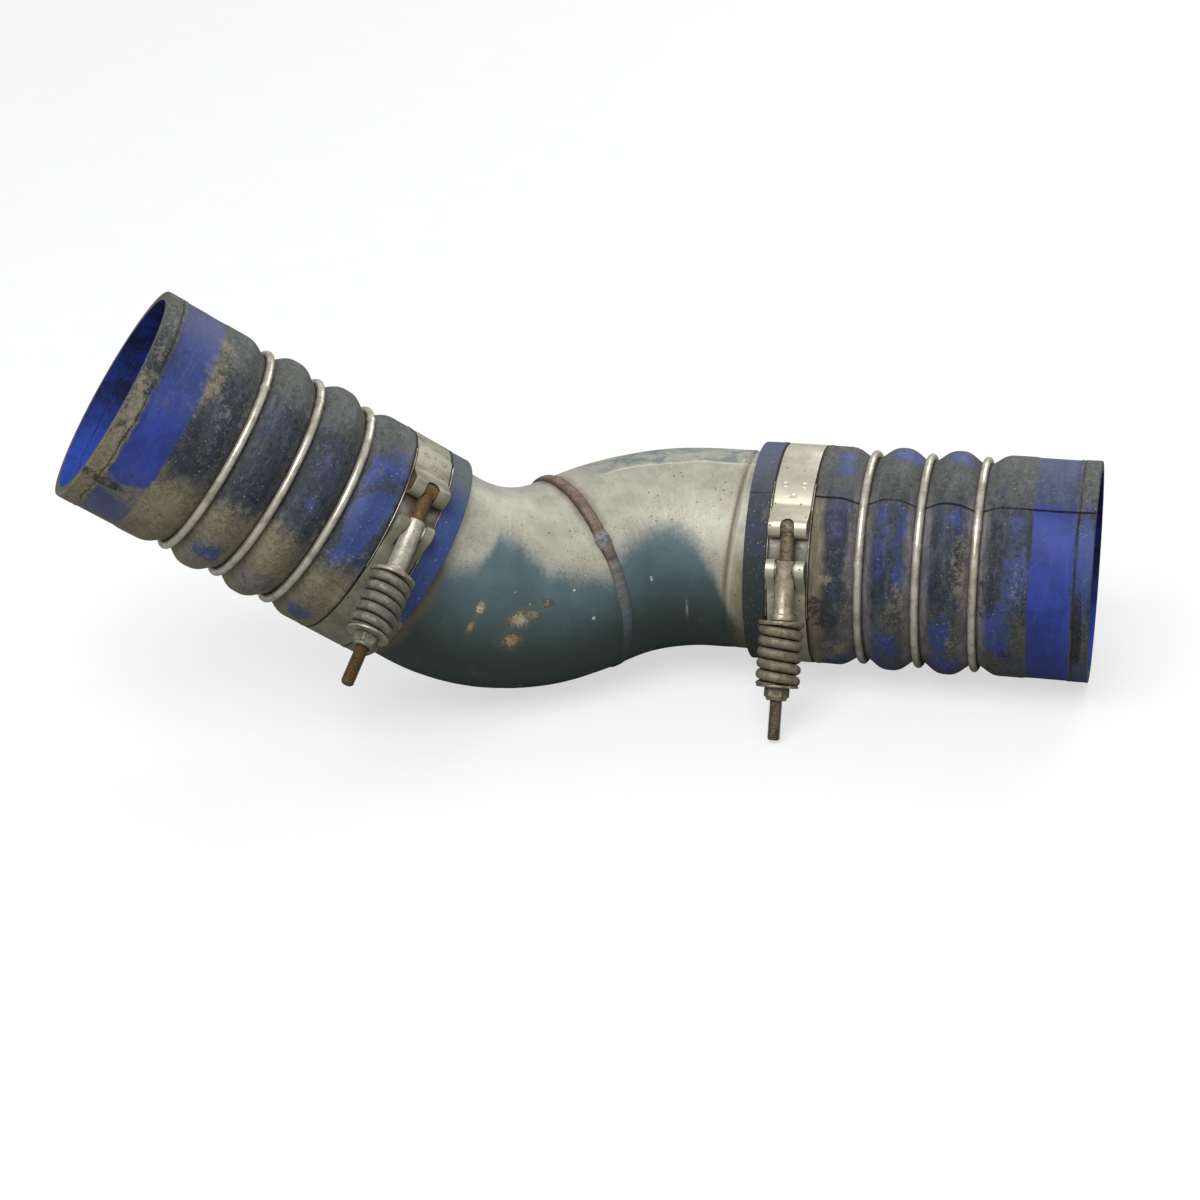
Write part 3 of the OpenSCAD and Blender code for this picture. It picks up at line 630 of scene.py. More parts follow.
def make_hose(name, side, clamp_clock, lap_turn, seed):
    """Hose from its end on the pipe to its free end, with the lap at lap_turn and the clamp's marks pressed in."""
    matrix = leg_at(side, 0)
    around = np.arange(0, 360, 1.2)
    ways = np.stack([0 * around, np.sin(np.radians(around)), np.cos(np.radians(around))], -1)
    lap = around[np.argmin(abs(turn_of(matrix, ways) - lap_turn))]
    around = np.unique(np.concatenate([around, (lap + np.arange(-3, 3.01, 0.2)) % 360]))
    ways = np.stack([0 * around, np.sin(np.radians(around)), np.cos(np.radians(around))], -1)
    past_lap = (around - lap + 180) % 360 - 180
    runs = np.unique(np.concatenate([
        [0, 0.08, 0.25, 0.5], np.arange(1, 10.5, 1.1), np.arange(10.8, 13.5, 0.3), np.arange(14, 30.5, 1.6),
        np.arange(30.8, 33.5, 0.3), np.arange(34, HOSE_LENGTH - 10, 1.1),
        np.arange(HOSE_LENGTH - 10, HOSE_LENGTH - 6, 0.35), np.arange(HOSE_LENGTH - 6, HOSE_LENGTH - 0.5, 1.0),
        HOSE_LENGTH - np.array([0.5, 0.25, 0.08, 0])]))
    run = runs[:, None]
    radius = np.broadcast_to(hose_radius(run), (len(runs), len(around))).copy()
    from_end = np.minimum(run, HOSE_LENGTH - run)
    radius -= RIM_ROUND * (1 - np.sqrt(1 - np.clip(1 - from_end / RIM_ROUND, 0, 1) ** 2))
    in_band = np.clip((BAND_HALF + 1 - abs(run - CLAMP_RUN)) / 0.5, 0, 1)
    radius -= GROOVE_DEPTH * in_band
    radius += bump_at(abs(run - CLAMP_RUN), BAND_HALF + 2.4, 1.6, 0.25)
    radius -= IMPRINT_DEPTH * np.clip((IMPRINT_HALF - abs(run - IMPRINT_RUN)) / 0.9, 0, 1)
    points = hoops(run, radius, ways)
    free = np.clip(from_end / 1.5, 0, 1) * (1 - in_band)
    radius += free * (wander(points, 38, 0.35, seed) + wander(points, 10, 0.12, seed + 3))
    ply_end = HOSE_LENGTH - OUTER_PLY_END + wander(np.stack([0 * around, *(55 * ways.T[1:])], -1), 16, 1.1, seed + 9)
    radius -= free * bump_at(run, ply_end[None, :], 0.5, 0.3)
    radius -= free * bump_at(past_lap, 0.35 * np.sin(run / 9), 0.5, 0.45)
    radius += free * 0.3 * np.clip(1 - past_lap / 7, 0, 1) * (past_lap > 0)
    across_front = abs((around + clamp_clock + 180) % 360 - 180)
    under_bridge = (abs(run - CLAMP_RUN) < BRIDGE_HALF + 0.3) & (across_front < BRIDGE_TURN)
    radius = np.where(under_bridge, np.minimum(radius, BRIDGE_IN_R - 0.1), radius)
    outer = hoops(run, radius, ways)

    bore_runs = np.unique(np.concatenate([
        [0, HOSE_LENGTH], np.arange(2, 42, 4), np.arange(42, 128, 2.2), np.arange(130, HOSE_LENGTH, 6)]))[::-1]
    humped = np.where(
        abs(bore_runs - HOSE_MID) < 1.5 * RING_PITCH, hose_radius(bore_runs) - HOSE_WALL, HOSE_BORE_R)
    bore = hoops(bore_runs[:, None], humped[:, None], ways)
    ply_steps = np.linspace(0.12, 0.94, 12)[:, None]
    ply_r = CUFF_R - RIM_ROUND + (HOSE_BORE_R - CUFF_R + RIM_ROUND) * ply_steps
    ply_inset = 0.16 * abs(np.sin(ply_steps * 4 * math.pi)) + 0.05
    free_end = hoops(HOSE_LENGTH - ply_inset, ply_r, ways)
    pipe_end = hoops(ply_inset[::-1], ply_r[::-1], ways)
    grid = np.concatenate([outer, free_end, bore, pipe_end])
    inside = np.repeat([0, 0.5, 1, 0.5], [len(rows) for rows in (outer, free_end, bore, pipe_end)])
    shape = grid.shape[:2]
    return skin(
        name, grid, matrix, run=grid[..., 0], turn=np.broadcast_to(turn_of(matrix, ways), shape),
        lap=np.broadcast_to(past_lap, shape), inside=np.broadcast_to(inside[:, None], shape))


def hose_finish(name, shift, clean_turns, wear):
    """Blue silicone under soot and dust. The marks in wear are (run, turn, half run, half turn, weight)."""
    material, place, shader = new_finish(name)
    run, turn, lap, inside = [place.field(field) for field in ("run", "turn", "lap", "inside")]
    height = turn.sine()
    round_hose = place.node("CombineXYZ", {}, {"X": run * MM, "Y": turn * 0.0002, "Z": shift})
    along_hose = place.node("CombineXYZ", {}, {"X": run * 0.0002, "Y": turn * 0.001, "Z": shift})
    cloud = place.grain(30, 5, 0.62, 0.35, shift)
    patch = place.grain(11, 6, 0.68, 0.5, shift + 0.1)
    fine = place.grain(2.6, 6, 0.75, 0.2, shift + 0.2)
    strokes = round_hose.grain(2.2, 5, 0.7, 0.3)
    scrapes = along_hose.grain(1.6, 4, 0.7, 0.2)
    brushed = round_hose.grain(4.5, 5, 0.75, 0.6, 0.3)

    def marked(kind):
        total = 0
        for at_run, at_turn, half_run, half_turn, weight in wear[kind]:
            reach = ((run - at_run) / half_run) ** 2 + ((turn - at_turn) / half_turn) ** 2
            total = reach.rise(2.2, 0.1) * weight + total
        return total

    # Regions: valleys and their flanks, the collar between the clamp and the hose's end, the upper and lower
    # sides, and the clean band that an old clamp left.
    ring_gap = run - HOSE_MID
    ring_gap = abs(ring_gap).least(abs(abs(ring_gap) - RING_PITCH))
    in_humps = abs(run - HOSE_MID).rise(1.62 * RING_PITCH, 1.4 * RING_PITCH)
    by_ring = ring_gap.rise(8.5, 3) * in_humps
    collar = run.rise(CLAMP_RUN - BAND_HALF, CLAMP_RUN - BAND_HALF - 1)
    high = (height + (patch - 0.5) * 0.38).rise(0.34, 0.74)
    low = (height + (patch - 0.5) * 0.6).rise(-0.31, -0.72)
    ragged = (strokes - 0.5) * 2 + ((patch - 0.5) * 6 + (fine - 0.5) * 4) * wear["ragged"]
    clean = abs(run + ragged - CLEAN_RUN).rise(CLEAN_HALF + 0.5, CLEAN_HALF - 0.8)
    clean = clean * (turn + (patch - 0.5) * 26).curve(clean_turns)

    bright = cloud.rise(0.4, 0.6).over((33, 51, 126), (42, 64, 156))
    blue = cloud.rise(0.35, 0.65).over((42, 60, 112), (54, 74, 138)).coated(
        (patch.rise(0.52, 0.62) * 0.5, (50, 72, 152)),
        (clean * (0.75 + patch * 0.4).least(1), bright),
        (brushed.rise(0.52, 0.7) * 0.4 * (1 - clean * 0.5), (84, 96, 142)),
        (height.rise(-0.5, -0.96) * 0.5, (38, 56, 134)))

    grey_film = fine.rise(0.34, 0.66).over((60, 64, 61), (96, 99, 92)).coated(
        (cloud.rise(0.4, 0.62) * 0.6, (98, 98, 86)))
    low_film = fine.rise(0.3, 0.7).over((98, 94, 76), (134, 128, 104))
    collar_film = (height + (patch - 0.5) * 0.45).rise(0.28, 0.77).over(wear["collar_low"], wear["collar_high"])
    film = fine.rise(0.36, 0.64).over((28, 33, 37), (56, 63, 69)).coated(
        (cloud.rise(0.42, 0.6) * 0.5, (44, 54, 76)),
        (high * 0.85, grey_film),
        (low * wear["low_dust"], low_film),
        (brushed.rise(0.5, 0.68) * (0.25 + high * 0.3), (112, 116, 118)),
        (brushed.rise(0.48, 0.34) * 0.4 * (1 - low * 0.6), (28, 33, 38)),
        (collar * (0.55 + fine * 0.6), collar_film))

    # Blue shows where the film is thin, and dust lies on both.
    field = cloud * 0.28 + patch * 0.3 + fine * 0.18 + strokes * 0.12 + brushed * 0.12
    lift = field - 0.5 + marked("blue") + wear["blueness"] - by_ring * 0.03
    collar_blue = (turn + (cloud - 0.5) * 40).curve(wear["collar"])
    shows = lift.rise(-0.015, 0.05).most(clean) * (1 - collar) + collar * collar_blue
    veil = (patch * 0.4 + fine * 0.6).rise(0.4, 0.66) * (1 - clean * 0.8)
    light = (scrapes.rise(0.6, 0.68) * patch.rise(0.45, 0.6)).most(strokes.rise(0.6, 0.7) * fine.rise(0.4, 0.6))
    beside = (by_ring * (0.2 + patch * 1.1)).least(1) * height.rise(0.87, 0.34) * wear["ring_dust"]
    dust = field - 0.5 + marked("dust") + wear["dustiness"] + by_ring * 0.03 + low * wear["low_dust"] * 0.06
    dust = dust.rise(0.0, 0.08) * (1 - clean * 0.9)
    dust_tone = (patch * 0.5 + fine * 0.5).rise(0.38, 0.62).over((98, 90, 70), (142, 134, 108))
    flecks = place.grain(1.2, 4, 0.8, 0, shift + 0.6) + marked("dust") * 0.6 + low * wear["low_dust"] * 0.06
    face = film.coated(
        (lift.rise(-0.09, 0.02) * 0.4 * (1 - collar), (64, 74, 100)),
        (shows * (0.66 + fine * 0.5).least(0.96), blue),
        (veil * 0.35 * shows, (52, 62, 84)),
        (light * 0.5 * (1 - clean * 0.7), (118, 120, 136)),
        (beside, brushed.rise(0.4, 0.6).over((100, 95, 102), (142, 134, 136))),
        (dust * (0.5 + fine * 0.6).least(0.9), dust_tone),
        (flecks.rise(0.6, 0.68) * 0.55 * (1 - clean), (150, 144, 116)))
    if wear["strip"]:
        strip = (run + (patch - 0.5) * 3).rise(31.5, 32.6) * (run + (cloud - 0.5) * 9).rise(41, 36.5)
        strip = strip * height.rise(0.64, 0.41) * 0.85 * (0.7 + fine * 0.6).least(1)
        face = strip.over(face, strokes.rise(0.4, 0.6).over((112, 100, 78), (140, 128, 104)))

    # Crumbs, soot, the joints between plies, a dark line along each edge of the band, painted shade beside the wires,
    # the cut end, and the bore in painted shade with painted light on its lower inside.
    crumbs = place.specks(3.4, shift).rise(0.15, 0.09) * (patch.rise(0.45, 0.55) + marked("dust")).least(1)
    crumbs = crumbs * (1 - clean)
    soot = (patch * 0.4 + fine * 0.4 + strokes * 0.2 - 0.5 + marked("soot")).rise(0.07, 0.15)
    ply_end = abs(run - PLY_LINE_RUN + (patch - 0.5) * 7 * wear["ragged"]).rise(0.6, 0.2) * brushed.rise(0.38, 0.52)
    groove = abs(lap + (fine - 0.5) * 0.8).rise(0.55, 0.2).least(run.rise(31, 33)).most(ply_end * 0.8)
    cut_plies = place.grain(1.1, 3, 0.7, 0, shift).rise(0.3, 0.7).over((64, 64, 60), (112, 108, 94))
    # The bore is a darker blue as painted shade, with painted light on its lower inside, which faces up.
    bore = patch.rise(0.4, 0.62).over((11, 22, 58), (18, 44, 118)).coated(
        (height.rise(0.2, -0.6) * cloud.rise(0.34, 0.5) * 0.85, (50, 84, 186)))
    face = face.coated(
        (crumbs * 0.6, (162, 156, 122)),
        (soot * 0.88, fine.rise(0.45, 0.7).over((26, 27, 32), (58, 60, 64))),
        (place.specks(8, shift + 0.4).rise(0.08, 0.055) * 0.8, (26, 28, 34)),
        (groove * 0.8, (24, 22, 22)),
        (abs(abs(run - CLAMP_RUN) - BAND_HALF - 0.7).rise(1.1, 0.3) * 0.7, (44, 38, 32)),
        # Painted shade on the rubber beside each wire ring.
        (ring_gap.rise(3.4, 1.8) * in_humps * 0.7, (58, 50, 46)),
        (inside.rise(0.2, 0.4), cut_plies),
        (inside.rise(0.6, 0.9), bore))
    covered = (1 - shows).most(dust)
    dress(shader, {
        "Base Color": face,
        "Roughness": 0.52 + covered * 0.16 + (fine - 0.5) * 0.16,
        "Specular IOR Level": 0.35,
        "Normal": (
            fine * 0.5 + dust * 0.35 + covered * 0.12 + brushed * 0.35 + crumbs * 0.4 - groove * 0.7).raised(0.4),
    })
    return material


# Each hose's clamp clock, lap, seed and wear. The curves in clean_turns and collar are (turn, amount).
HOSES = {
    "left": {"clamp_clock": 101, "lap_turn": -150, "seed": 21.3},
    "right": {"clamp_clock": 142, "lap_turn": 31, "seed": 34.7},
}
HOSE_SHIFTS = {"left": 0.3, "right": 1.9}
CLEAN_TURNS = {
    "left": [
        (-180, 0), (-80, 0.3), (-66, 0.75), (-50, 0.8), (-43, 0.2), (-38, 1), (-12, 1), (4, 0.7), (22, 0.6),
        (34, 0.75), (58, 0.6), (90, 0.4), (180, 0)],
    "right": [(-180, 0.4), (-80, 1), (-60, 1), (29, 1), (35, 0.4), (70, 0.55), (180, 0.4)],
}
HOSE_WEAR = {
    "left": {
        "blueness": -0.075, "dustiness": -0.045, "low_dust": 1.0, "ring_dust": 0.2, "ragged": 1.0, "strip": False,
        "collar_low": (54, 78, 126), "collar_high": (88, 96, 94),
        "collar": [(-180, 0.1), (-70, 0.1), (-56, 0.4), (-42, 0.7), (8, 0.9), (24, 0.5), (44, 0.1), (180, 0.1)],
        "blue": [
            (98.5, -57, 7, 13, 0.15), (70.5, -58, 8, 13, 0.13), (44, -62, 7, 10, 0.13), (43, 14, 10, 28, 0.13),
            (46, -12, 7, 16, 0.09), (70, -2, 9, 20, 0.05), (165, -10, 3, 14, 0.06), (165, 30, 3, 10, 0.04),
            (132, 2, 3, 10, 0.04), (118, -12, 5, 10, 0.04)],
        "dust": [
            (128, -46, 16, 14, 0.1), (98, -34, 9, 10, 0.06), (72, -38, 10, 14, 0.08), (42, -42, 9, 14, 0.06),
            (165, -30, 6, 30, 0.11), (165, 40, 6, 40, 0.07), (137, 34, 6, 24, 0.07), (128, 0, 12, 40, 0.035),
            (98, -80, 40, 18, 0.12), (4, -66, 14, 22, 0.1), (166, -75, 8, 24, 0.12)],
        "soot": [(134, 0, 5, 14, 0.08), (162, -44, 16, 2.5, 0.12), (100, 2, 5, 18, 0.05), (129, -22, 4, 8, 0.09)],
    },
    "right": {
        "blueness": -0.06, "dustiness": -0.07, "low_dust": 0.3, "ring_dust": 0.95, "ragged": 0.3, "strip": True,
        "collar_low": (46, 53, 49), "collar_high": (84, 89, 92),
        "collar": [
            (-180, 0.2), (-100, 0.05), (-60, 0.03), (0, 0.05), (14, 0.2), (30, 0.05), (55, 0.25), (75, 0.45),
            (180, 0.2)],
        "blue": [
            (45.5, 58, 5, 12, 0.09), (75.5, 72, 8, 12, 0.11), (101.5, 72, 7, 12, 0.1), (77.5, 4, 4, 19, 0.11),
            (67.5, 5, 4, 18, 0.08), (88.5, -6, 4.4, 14, 0.11), (97, -39, 5, 12, 0.13), (73, -60, 10, 18, 0.08),
            (99, -68, 10, 14, 0.08), (44, -70, 9, 14, 0.06), (132, 6, 6, 24, 0.08), (124.5, -38, 8, 16, 0.11),
            (105, 24, 4, 10, 0.08), (165, 6, 4, 28, 0.14), (165, -72, 5, 16, 0.12), (132, -70, 9, 18, 0.06)],
        "dust": [
            (75, -26, 5, 13, 0.09), (106, -8, 5, 20, 0.08), (52, -20, 5, 26, 0.07), (41, -13, 4, 3, 0.13),
            (42, -62, 9, 9, 0.09), (106, 12, 3, 20, 0.05), (134, -8, 3, 20, 0.05), (132, 60, 12, 26, 0.03),
            (165, 52, 6, 22, 0.07), (104, -48, 4, 16, 0.07)],
        "soot": [
            (40, -32, 7, 12, 0.12), (66, -18, 5, 22, 0.1), (94, 0, 4, 26, 0.09), (119, -18, 5, 14, 0.1),
            (163, -36, 2.4, 24, 0.22), (138.6, 14, 1.6, 11, 0.14), (70, 6, 3, 22, 0.05), (128, -56, 10, 8, 0.07)],
    },
}
for side_name, side in SIDES.items():
    hose = make_hose(f"{side_name}_hose_silicone", side, **HOSES[side_name])
    hose.data.materials.append(hose_finish(
        f"{side_name}_silicone", HOSE_SHIFTS[side_name], CLEAN_TURNS[side_name], HOSE_WEAR[side_name]))
    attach(hose, "root")
    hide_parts(f"{side_name}_hose")

# Support rings.
# Rings of 4 mm stainless wire, bent round and butt welded, which lie in the three valleys of each hose and
# keep it from swelling under boost. They are bright, with brown film on their sides.
RING_R = 52.3
WIRE_R = 2
ring_finish, ring_place, ring_shader = new_finish("ring_steel")
ring_film = ring_place.grain(7, 4, 0.65, 0.3)
ring_spots = ring_place.grain(1.6, 3, 0.7)
dress(ring_shader, {
    "Base Color": ring_film.rise(0.4, 0.66).over((216, 211, 196), (176, 166, 142)).coated(
        (ring_spots.rise(0.64, 0.74) * 0.2, (112, 98, 78))),
    "Metallic": 0.62,
    "Roughness": 0.26 + ring_film.rise(0.4, 0.75) * 0.1,
    "Normal": ring_film.raised(0.01),
})
ring_around = np.radians(np.arange(0, 360, 1.5))
wire_around = np.radians(np.arange(0, 360, 18))
for side_name, side in SIDES.items():
    for number in (1, 2, 3):
        butt_weld = bump_at(np.degrees(ring_around), 200 + 12 * number, 2.2, 0.35)
        thick = WIRE_R + butt_weld[:, None]
        reach = RING_R + thick * np.cos(wire_around)
        ring_grid = np.stack([
            thick * -np.sin(wire_around), reach * np.sin(ring_around)[:, None],
            reach * np.cos(ring_around)[:, None]], -1)
        matrix = leg_at(side, HOSE_MID + (number - 2) * RING_PITCH)
        ring = skin(f"{side_name}_wire_ring_{number}", ring_grid, matrix)
        ring.data.materials.append(ring_finish)
        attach(ring, "root")
        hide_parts(f"{side_name}_ring_{number}")

# Clamp bands.
# Stainless strip, 19 mm wide and 0.8 mm thick. Each end is slotted, folded out round a cross bar and back on
# the strap, and held there by three spot welds, so the two ends carry the bolt's pull.
BAND_WIDTH = 19
BAND_THICK = 0.8
SEAT = 0.05
GROOVE_R = CUFF_R - GROOVE_DEPTH
BAND_MID_R = GROOVE_R + SEAT + BAND_THICK / 2
BAR_R = 4.2
LOOP_R = BAR_R + SEAT + BAND_THICK / 2
BAR_CENTRE_R = BAND_MID_R + LOOP_R
TAIL_R = BAND_MID_R + BAND_THICK + SEAT
LOOP_ANGLE = 10
KICK_ANGLE = 22
TAIL_ANGLE = 42
BOLT_HOLE_R = 3.475
SLEEVE_R = 4.8
SLEEVE_ROOM = 0.3
BAR_Y = BAR_CENTRE_R * math.sin(math.radians(LOOP_ANGLE))
BOLT_Z = BAR_CENTRE_R * math.cos(math.radians(LOOP_ANGLE))
# Each spot weld's place: millimetres across the strap and degrees from the front of the clamp.
SPOT_PLACES = [(-BAND_WIDTH / 4, 35), (BAND_WIDTH / 4, 35), (0, 28)]
# A spot weld's section: distance from its middle and height over the strap.
SPOT_PROFILE = [
    (0.05, 0.0), (0.55, 0.0), (0.95, 0.04), (1.2, 0.17), (1.5, 0.2), (1.8, 0.1), (2.0, -0.06), (2.0, -0.3),
    (0.05, -0.3)]
CLAMPS = {
    "left": leg_at(SIDES["left"], CLAMP_RUN, turned_x(HOSES["left"]["clamp_clock"]) @ np.diag([-1, -1, 1])),
    "right": leg_at(SIDES["right"], CLAMP_RUN, turned_x(HOSES["right"]["clamp_clock"])),
}


def spoke(angle, reach):
    """Point (y, z) at an angle in degrees from the front of the clamp."""
    return np.array([reach * math.sin(math.radians(angle)), reach * math.cos(math.radians(angle))])


def bow(centre, reach, first, last, step):
    """Points of an arc round centre, at most step degrees apart."""
    count = max(1, math.ceil(abs(last - first) / step))
    return [centre + spoke(first + (last - first) * i / count, reach) for i in range(count + 1)]


bar_middle = spoke(LOOP_ANGLE, BAR_CENTRE_R)
kick = spoke(KICK_ANGLE, TAIL_R)
to_kick = kick - bar_middle
lift_angle = math.degrees(math.atan2(*to_kick)) - math.degrees(math.acos(LOOP_R / np.linalg.norm(to_kick))) + 360
fold = (bow(np.zeros(2), BAND_MID_R, 180, LOOP_ANGLE, 2) + bow(bar_middle, LOOP_R, LOOP_ANGLE + 187, lift_angle, 7)
        + [bar_middle + spoke(lift_angle, LOOP_R) * (1 - t) + to_kick * t for t in (0.25, 0.5, 0.75)]
        + bow(np.zeros(2), TAIL_R, KICK_ANGLE, TAIL_ANGLE, 2))
strap_path = np.array([[-y, z] for y, z in fold[::-1]] + fold[1:])
ahead = np.gradient(strap_path, axis=0)
ahead = ahead / np.linalg.norm(ahead, axis=1)[:, None]
beside_path = np.stack([-ahead[:, 1], ahead[:, 0]], -1)
from_tail = np.concatenate([[0], np.cumsum(np.linalg.norm(np.diff(strap_path, axis=0), axis=1))])
from_tail = np.minimum(from_tail, from_tail[::-1])
half_here = BAND_WIDTH / 2 - 1.4 * np.clip(1 - from_tail / 1.8, 0, 1) ** 2
edge_profile = [
    (-1, -0.3), (-0.985, -0.46), (-0.96, -0.5), (0.96, -0.5), (0.985, -0.46), (1, -0.3), (1, 0.3), (0.985, 0.46),
    (0.96, 0.5), (-0.96, 0.5), (-0.985, 0.46), (-1, 0.3)]
strap_grid = np.array([
    [[across * half, *(point + way * BAND_THICK * depth)] for across, depth in edge_profile]
    for point, way, half in zip(strap_path, beside_path, half_here)])


def settle(piece):
    """Apply the modifiers of a piece."""
    applied = bpy.data.meshes.new_from_object(piece.evaluated_get(bpy.context.evaluated_depsgraph_get()))
    piece.modifiers.clear()
    piece.data = applied
    applied.set_sharp_from_angle(angle=SHARP_ANGLE)


def arched_cutter(way, half, far, matrix):
    """Solid that cuts an arched slot, half as wide as half, from the middle of the clamp to past a bar."""
    outline = [(half * math.cos(a), far + half * math.sin(a)) for a in np.radians(np.arange(0, 181, 7.5))]
    outline += [(-half, 0), (half, 0)]
    rows = [[(way * x, way * y, BOLT_Z - half + up) for x, y in outline] for up in (0, 14)]
    return skin("slot_cutter", np.array(rows, float), matrix, loop=False)


def spot_weld(name, x, angle, matrix, seed):
    """Pressed ring that a spot-welding tip leaves on the strap."""
    ahead_y = np.array([math.cos(math.radians(angle)), -math.sin(math.radians(angle))])
    rows = []
    for reach, lift in SPOT_PROFILE:
        ring = []
        for a in np.radians(np.arange(0, 360, 15)):
            wobble = reach * (1 + 0.09 * math.sin(2 * a + seed) + 0.05 * math.sin(5 * a + 2 * seed))
            point = spoke(angle, TAIL_R + BAND_THICK / 2 + lift) + ahead_y * wobble * math.sin(a)
            ring.append([x + wobble * math.cos(a), *point])
        rows.append(ring)
    return skin(name, np.array(rows), matrix)


# The left strap is dull with dust, and the right one is given brighter colours as a painted highlight of its glinting
# tail: clean and dull colour, metal and roughness.
STRAP_TONES = {
    "left": ((148, 145, 124), (122, 118, 98), 0.45, 0.46),
    "right": ((206, 200, 178), (186, 180, 159), 0.62, 0.38),
}
for side_name, clamp in CLAMPS.items():
    clean_tone, dull_tone, gleam, smooth = STRAP_TONES[side_name]
    strap_finish, strap_place, strap_shader = new_finish(f"{side_name}_band_steel")
    strap_cloud = strap_place.grain(12, 4, 0.6, 0.3)
    strap_fine = strap_place.grain(1.5, 4, 0.7)
    strap_nicks = strap_place.specks(6).rise(0.12, 0.07)
    # Painted shade: the strap is darker, duller and less metallic in corners and close to other parts.
    strap_hollow_shade = strap_place.hollow_shade(0.006, 0.75, 0.35)
    dress(strap_shader, {
        "Base Color": strap_cloud.rise(0.4, 0.65).over(clean_tone, dull_tone).coated(
            (strap_fine.rise(0.58, 0.7) * 0.4, (110, 100, 80)), (strap_nicks * 0.7, (80, 70, 54)),
            (strap_hollow_shade * 0.75, (74, 64, 50))),
        "Metallic": gleam - 0.35 * strap_hollow_shade,
        "Roughness": smooth + strap_cloud.rise(0.45, 0.7) * 0.14 + strap_hollow_shade * 0.25,
        "Normal": (strap_fine * 0.5 + strap_cloud * 0.5 - strap_nicks).raised(0.12),
    })
    strap = skin(f"{side_name}_strap", strap_grid, clamp, loop=False)
    cutters = [
        arched_cutter(1, BOLT_HOLE_R, BAR_Y + 1, clamp),
        arched_cutter(-1, SLEEVE_R + SLEEVE_ROOM, BAR_Y + 8.4, clamp),
    ]
    for cutter in cutters:
        cut = strap.modifiers.new("slot", "BOOLEAN")
        cut.operation = "DIFFERENCE"
        cut.solver = "EXACT"
        cut.object = cutter
    settle(strap)
    for cutter in cutters:
        bpy.data.objects.remove(cutter)
    pieces = [strap]
    for number, (across, angle) in enumerate(SPOT_PLACES):
        for way in (1, -1):
            spot_name = f"{side_name}_spot_weld_{2 * number + (way > 0)}"
            pieces.append(spot_weld(spot_name, across, way * angle, clamp, number + 3 * way))
    for piece in pieces:
        piece.data.materials.append(strap_finish)
        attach(piece, "root")
        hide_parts(f"{side_name}_band")

# Bridge plates.
# A thin channel of stainless steel lies under the gap between the loops, so that the rubber isn't pinched
# there. Its turned-up sides show as bright edges beside the strap, and its floor is dull in patches and darkened with
# painted shade under the loops.
BRIDGE_T = 0.6
BRIDGE_SIDE_H = 2.6
BRIDGE_ANGLE = 36
BRIDGE_HALF_W = BAND_WIDTH / 2 + BRIDGE_T + SEAT + 0.35
half_profile = [
    (0.95, 0), (0.98, 0.08), (1, 0.25), (1, BRIDGE_SIDE_H - 0.1), (0.985, BRIDGE_SIDE_H), (0.96, BRIDGE_SIDE_H),
    (0.943, BRIDGE_SIDE_H - 0.1), (0.943, BRIDGE_T + 0.2), (0.92, BRIDGE_T)]
mirrored = [(-across, lift) for across, lift in half_profile[::-1]]
bridge_profile = mirrored[-3:] + half_profile + mirrored[:-3]
bridge_grid = np.array([
    [[across * BRIDGE_HALF_W, *spoke(angle, BRIDGE_IN_R + lift)] for across, lift in bridge_profile]
    for angle in np.arange(-BRIDGE_ANGLE, BRIDGE_ANGLE + 0.01, 1.5)])
bridge_finish, bridge_place, bridge_shader = new_finish("bridge_steel")
bridge_cloud = bridge_place.grain(7, 4, 0.65, 0.4)
# Painted shade in the channel's corners and under the loops.
bridge_hollow_shade = bridge_place.hollow_shade(0.008, 0.85, 0.45)
dress(bridge_shader, {
    "Base Color": bridge_cloud.rise(0.4, 0.62).over((182, 178, 168), (132, 124, 108)).coated(
        (bridge_hollow_shade * 0.7, (84, 74, 58))),
    "Metallic": 0.9 - 0.5 * bridge_hollow_shade,
    "Roughness": 0.32 + bridge_cloud.rise(0.45, 0.65) * 0.25,
    "Normal": bridge_cloud.raised(0.15),
})
for side_name, clamp in CLAMPS.items():
    bridge = skin(f"{side_name}_bridge_plate", bridge_grid, clamp, loop=False)
    bridge.data.materials.append(bridge_finish)
    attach(bridge, "root")
    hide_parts(f"{side_name}_bridge")

# T-bolts.
# A steel bolt whose cross bar sits in the upper loop and whose shank runs down through the trunnion, washers,
# spring and nut. Its thread is rolled on the lower half, and it has rusted where the plating has gone.
BOLT_R = 3.175
BOLT_LENGTH = 104
NECK_R = 3.42
HEAD_HALF = 9
THREAD_PITCH = 0.907
THREAD_DEPTH = 0.42
THREAD_FROM = 42


def along_bolt(outline, around):
    """Rows of points round the bolt's axis, for (distance from the clamp's middle towards the nut, radius or radii)."""
    rows = []
    for distance, radius in outline:
        radii = radius + 0 * around
        rows.append(np.stack([radii * np.cos(around), 0 * around - distance, BOLT_Z + radii * np.sin(around)], -1))
    return np.array(rows)


def rod_across(y, reach_from, reach_to, radius):
    """Rounded bar across the clamp at y."""
    around = np.radians(np.arange(0, 360, 7.5))
    ends = np.array([0, 0.1, 0.35, 0.6])
    trims = np.array([0.6, 0.3, 0.08, 0])
    xs = np.concatenate([reach_from + ends, reach_to - ends[::-1]])
    radii = radius - np.concatenate([trims, trims[::-1]])[:, None]
    return np.stack([
        np.broadcast_to(xs[:, None], (len(xs), len(around))), y + radii * np.cos(around),
        BOLT_Z + radii * np.sin(around)], -1)


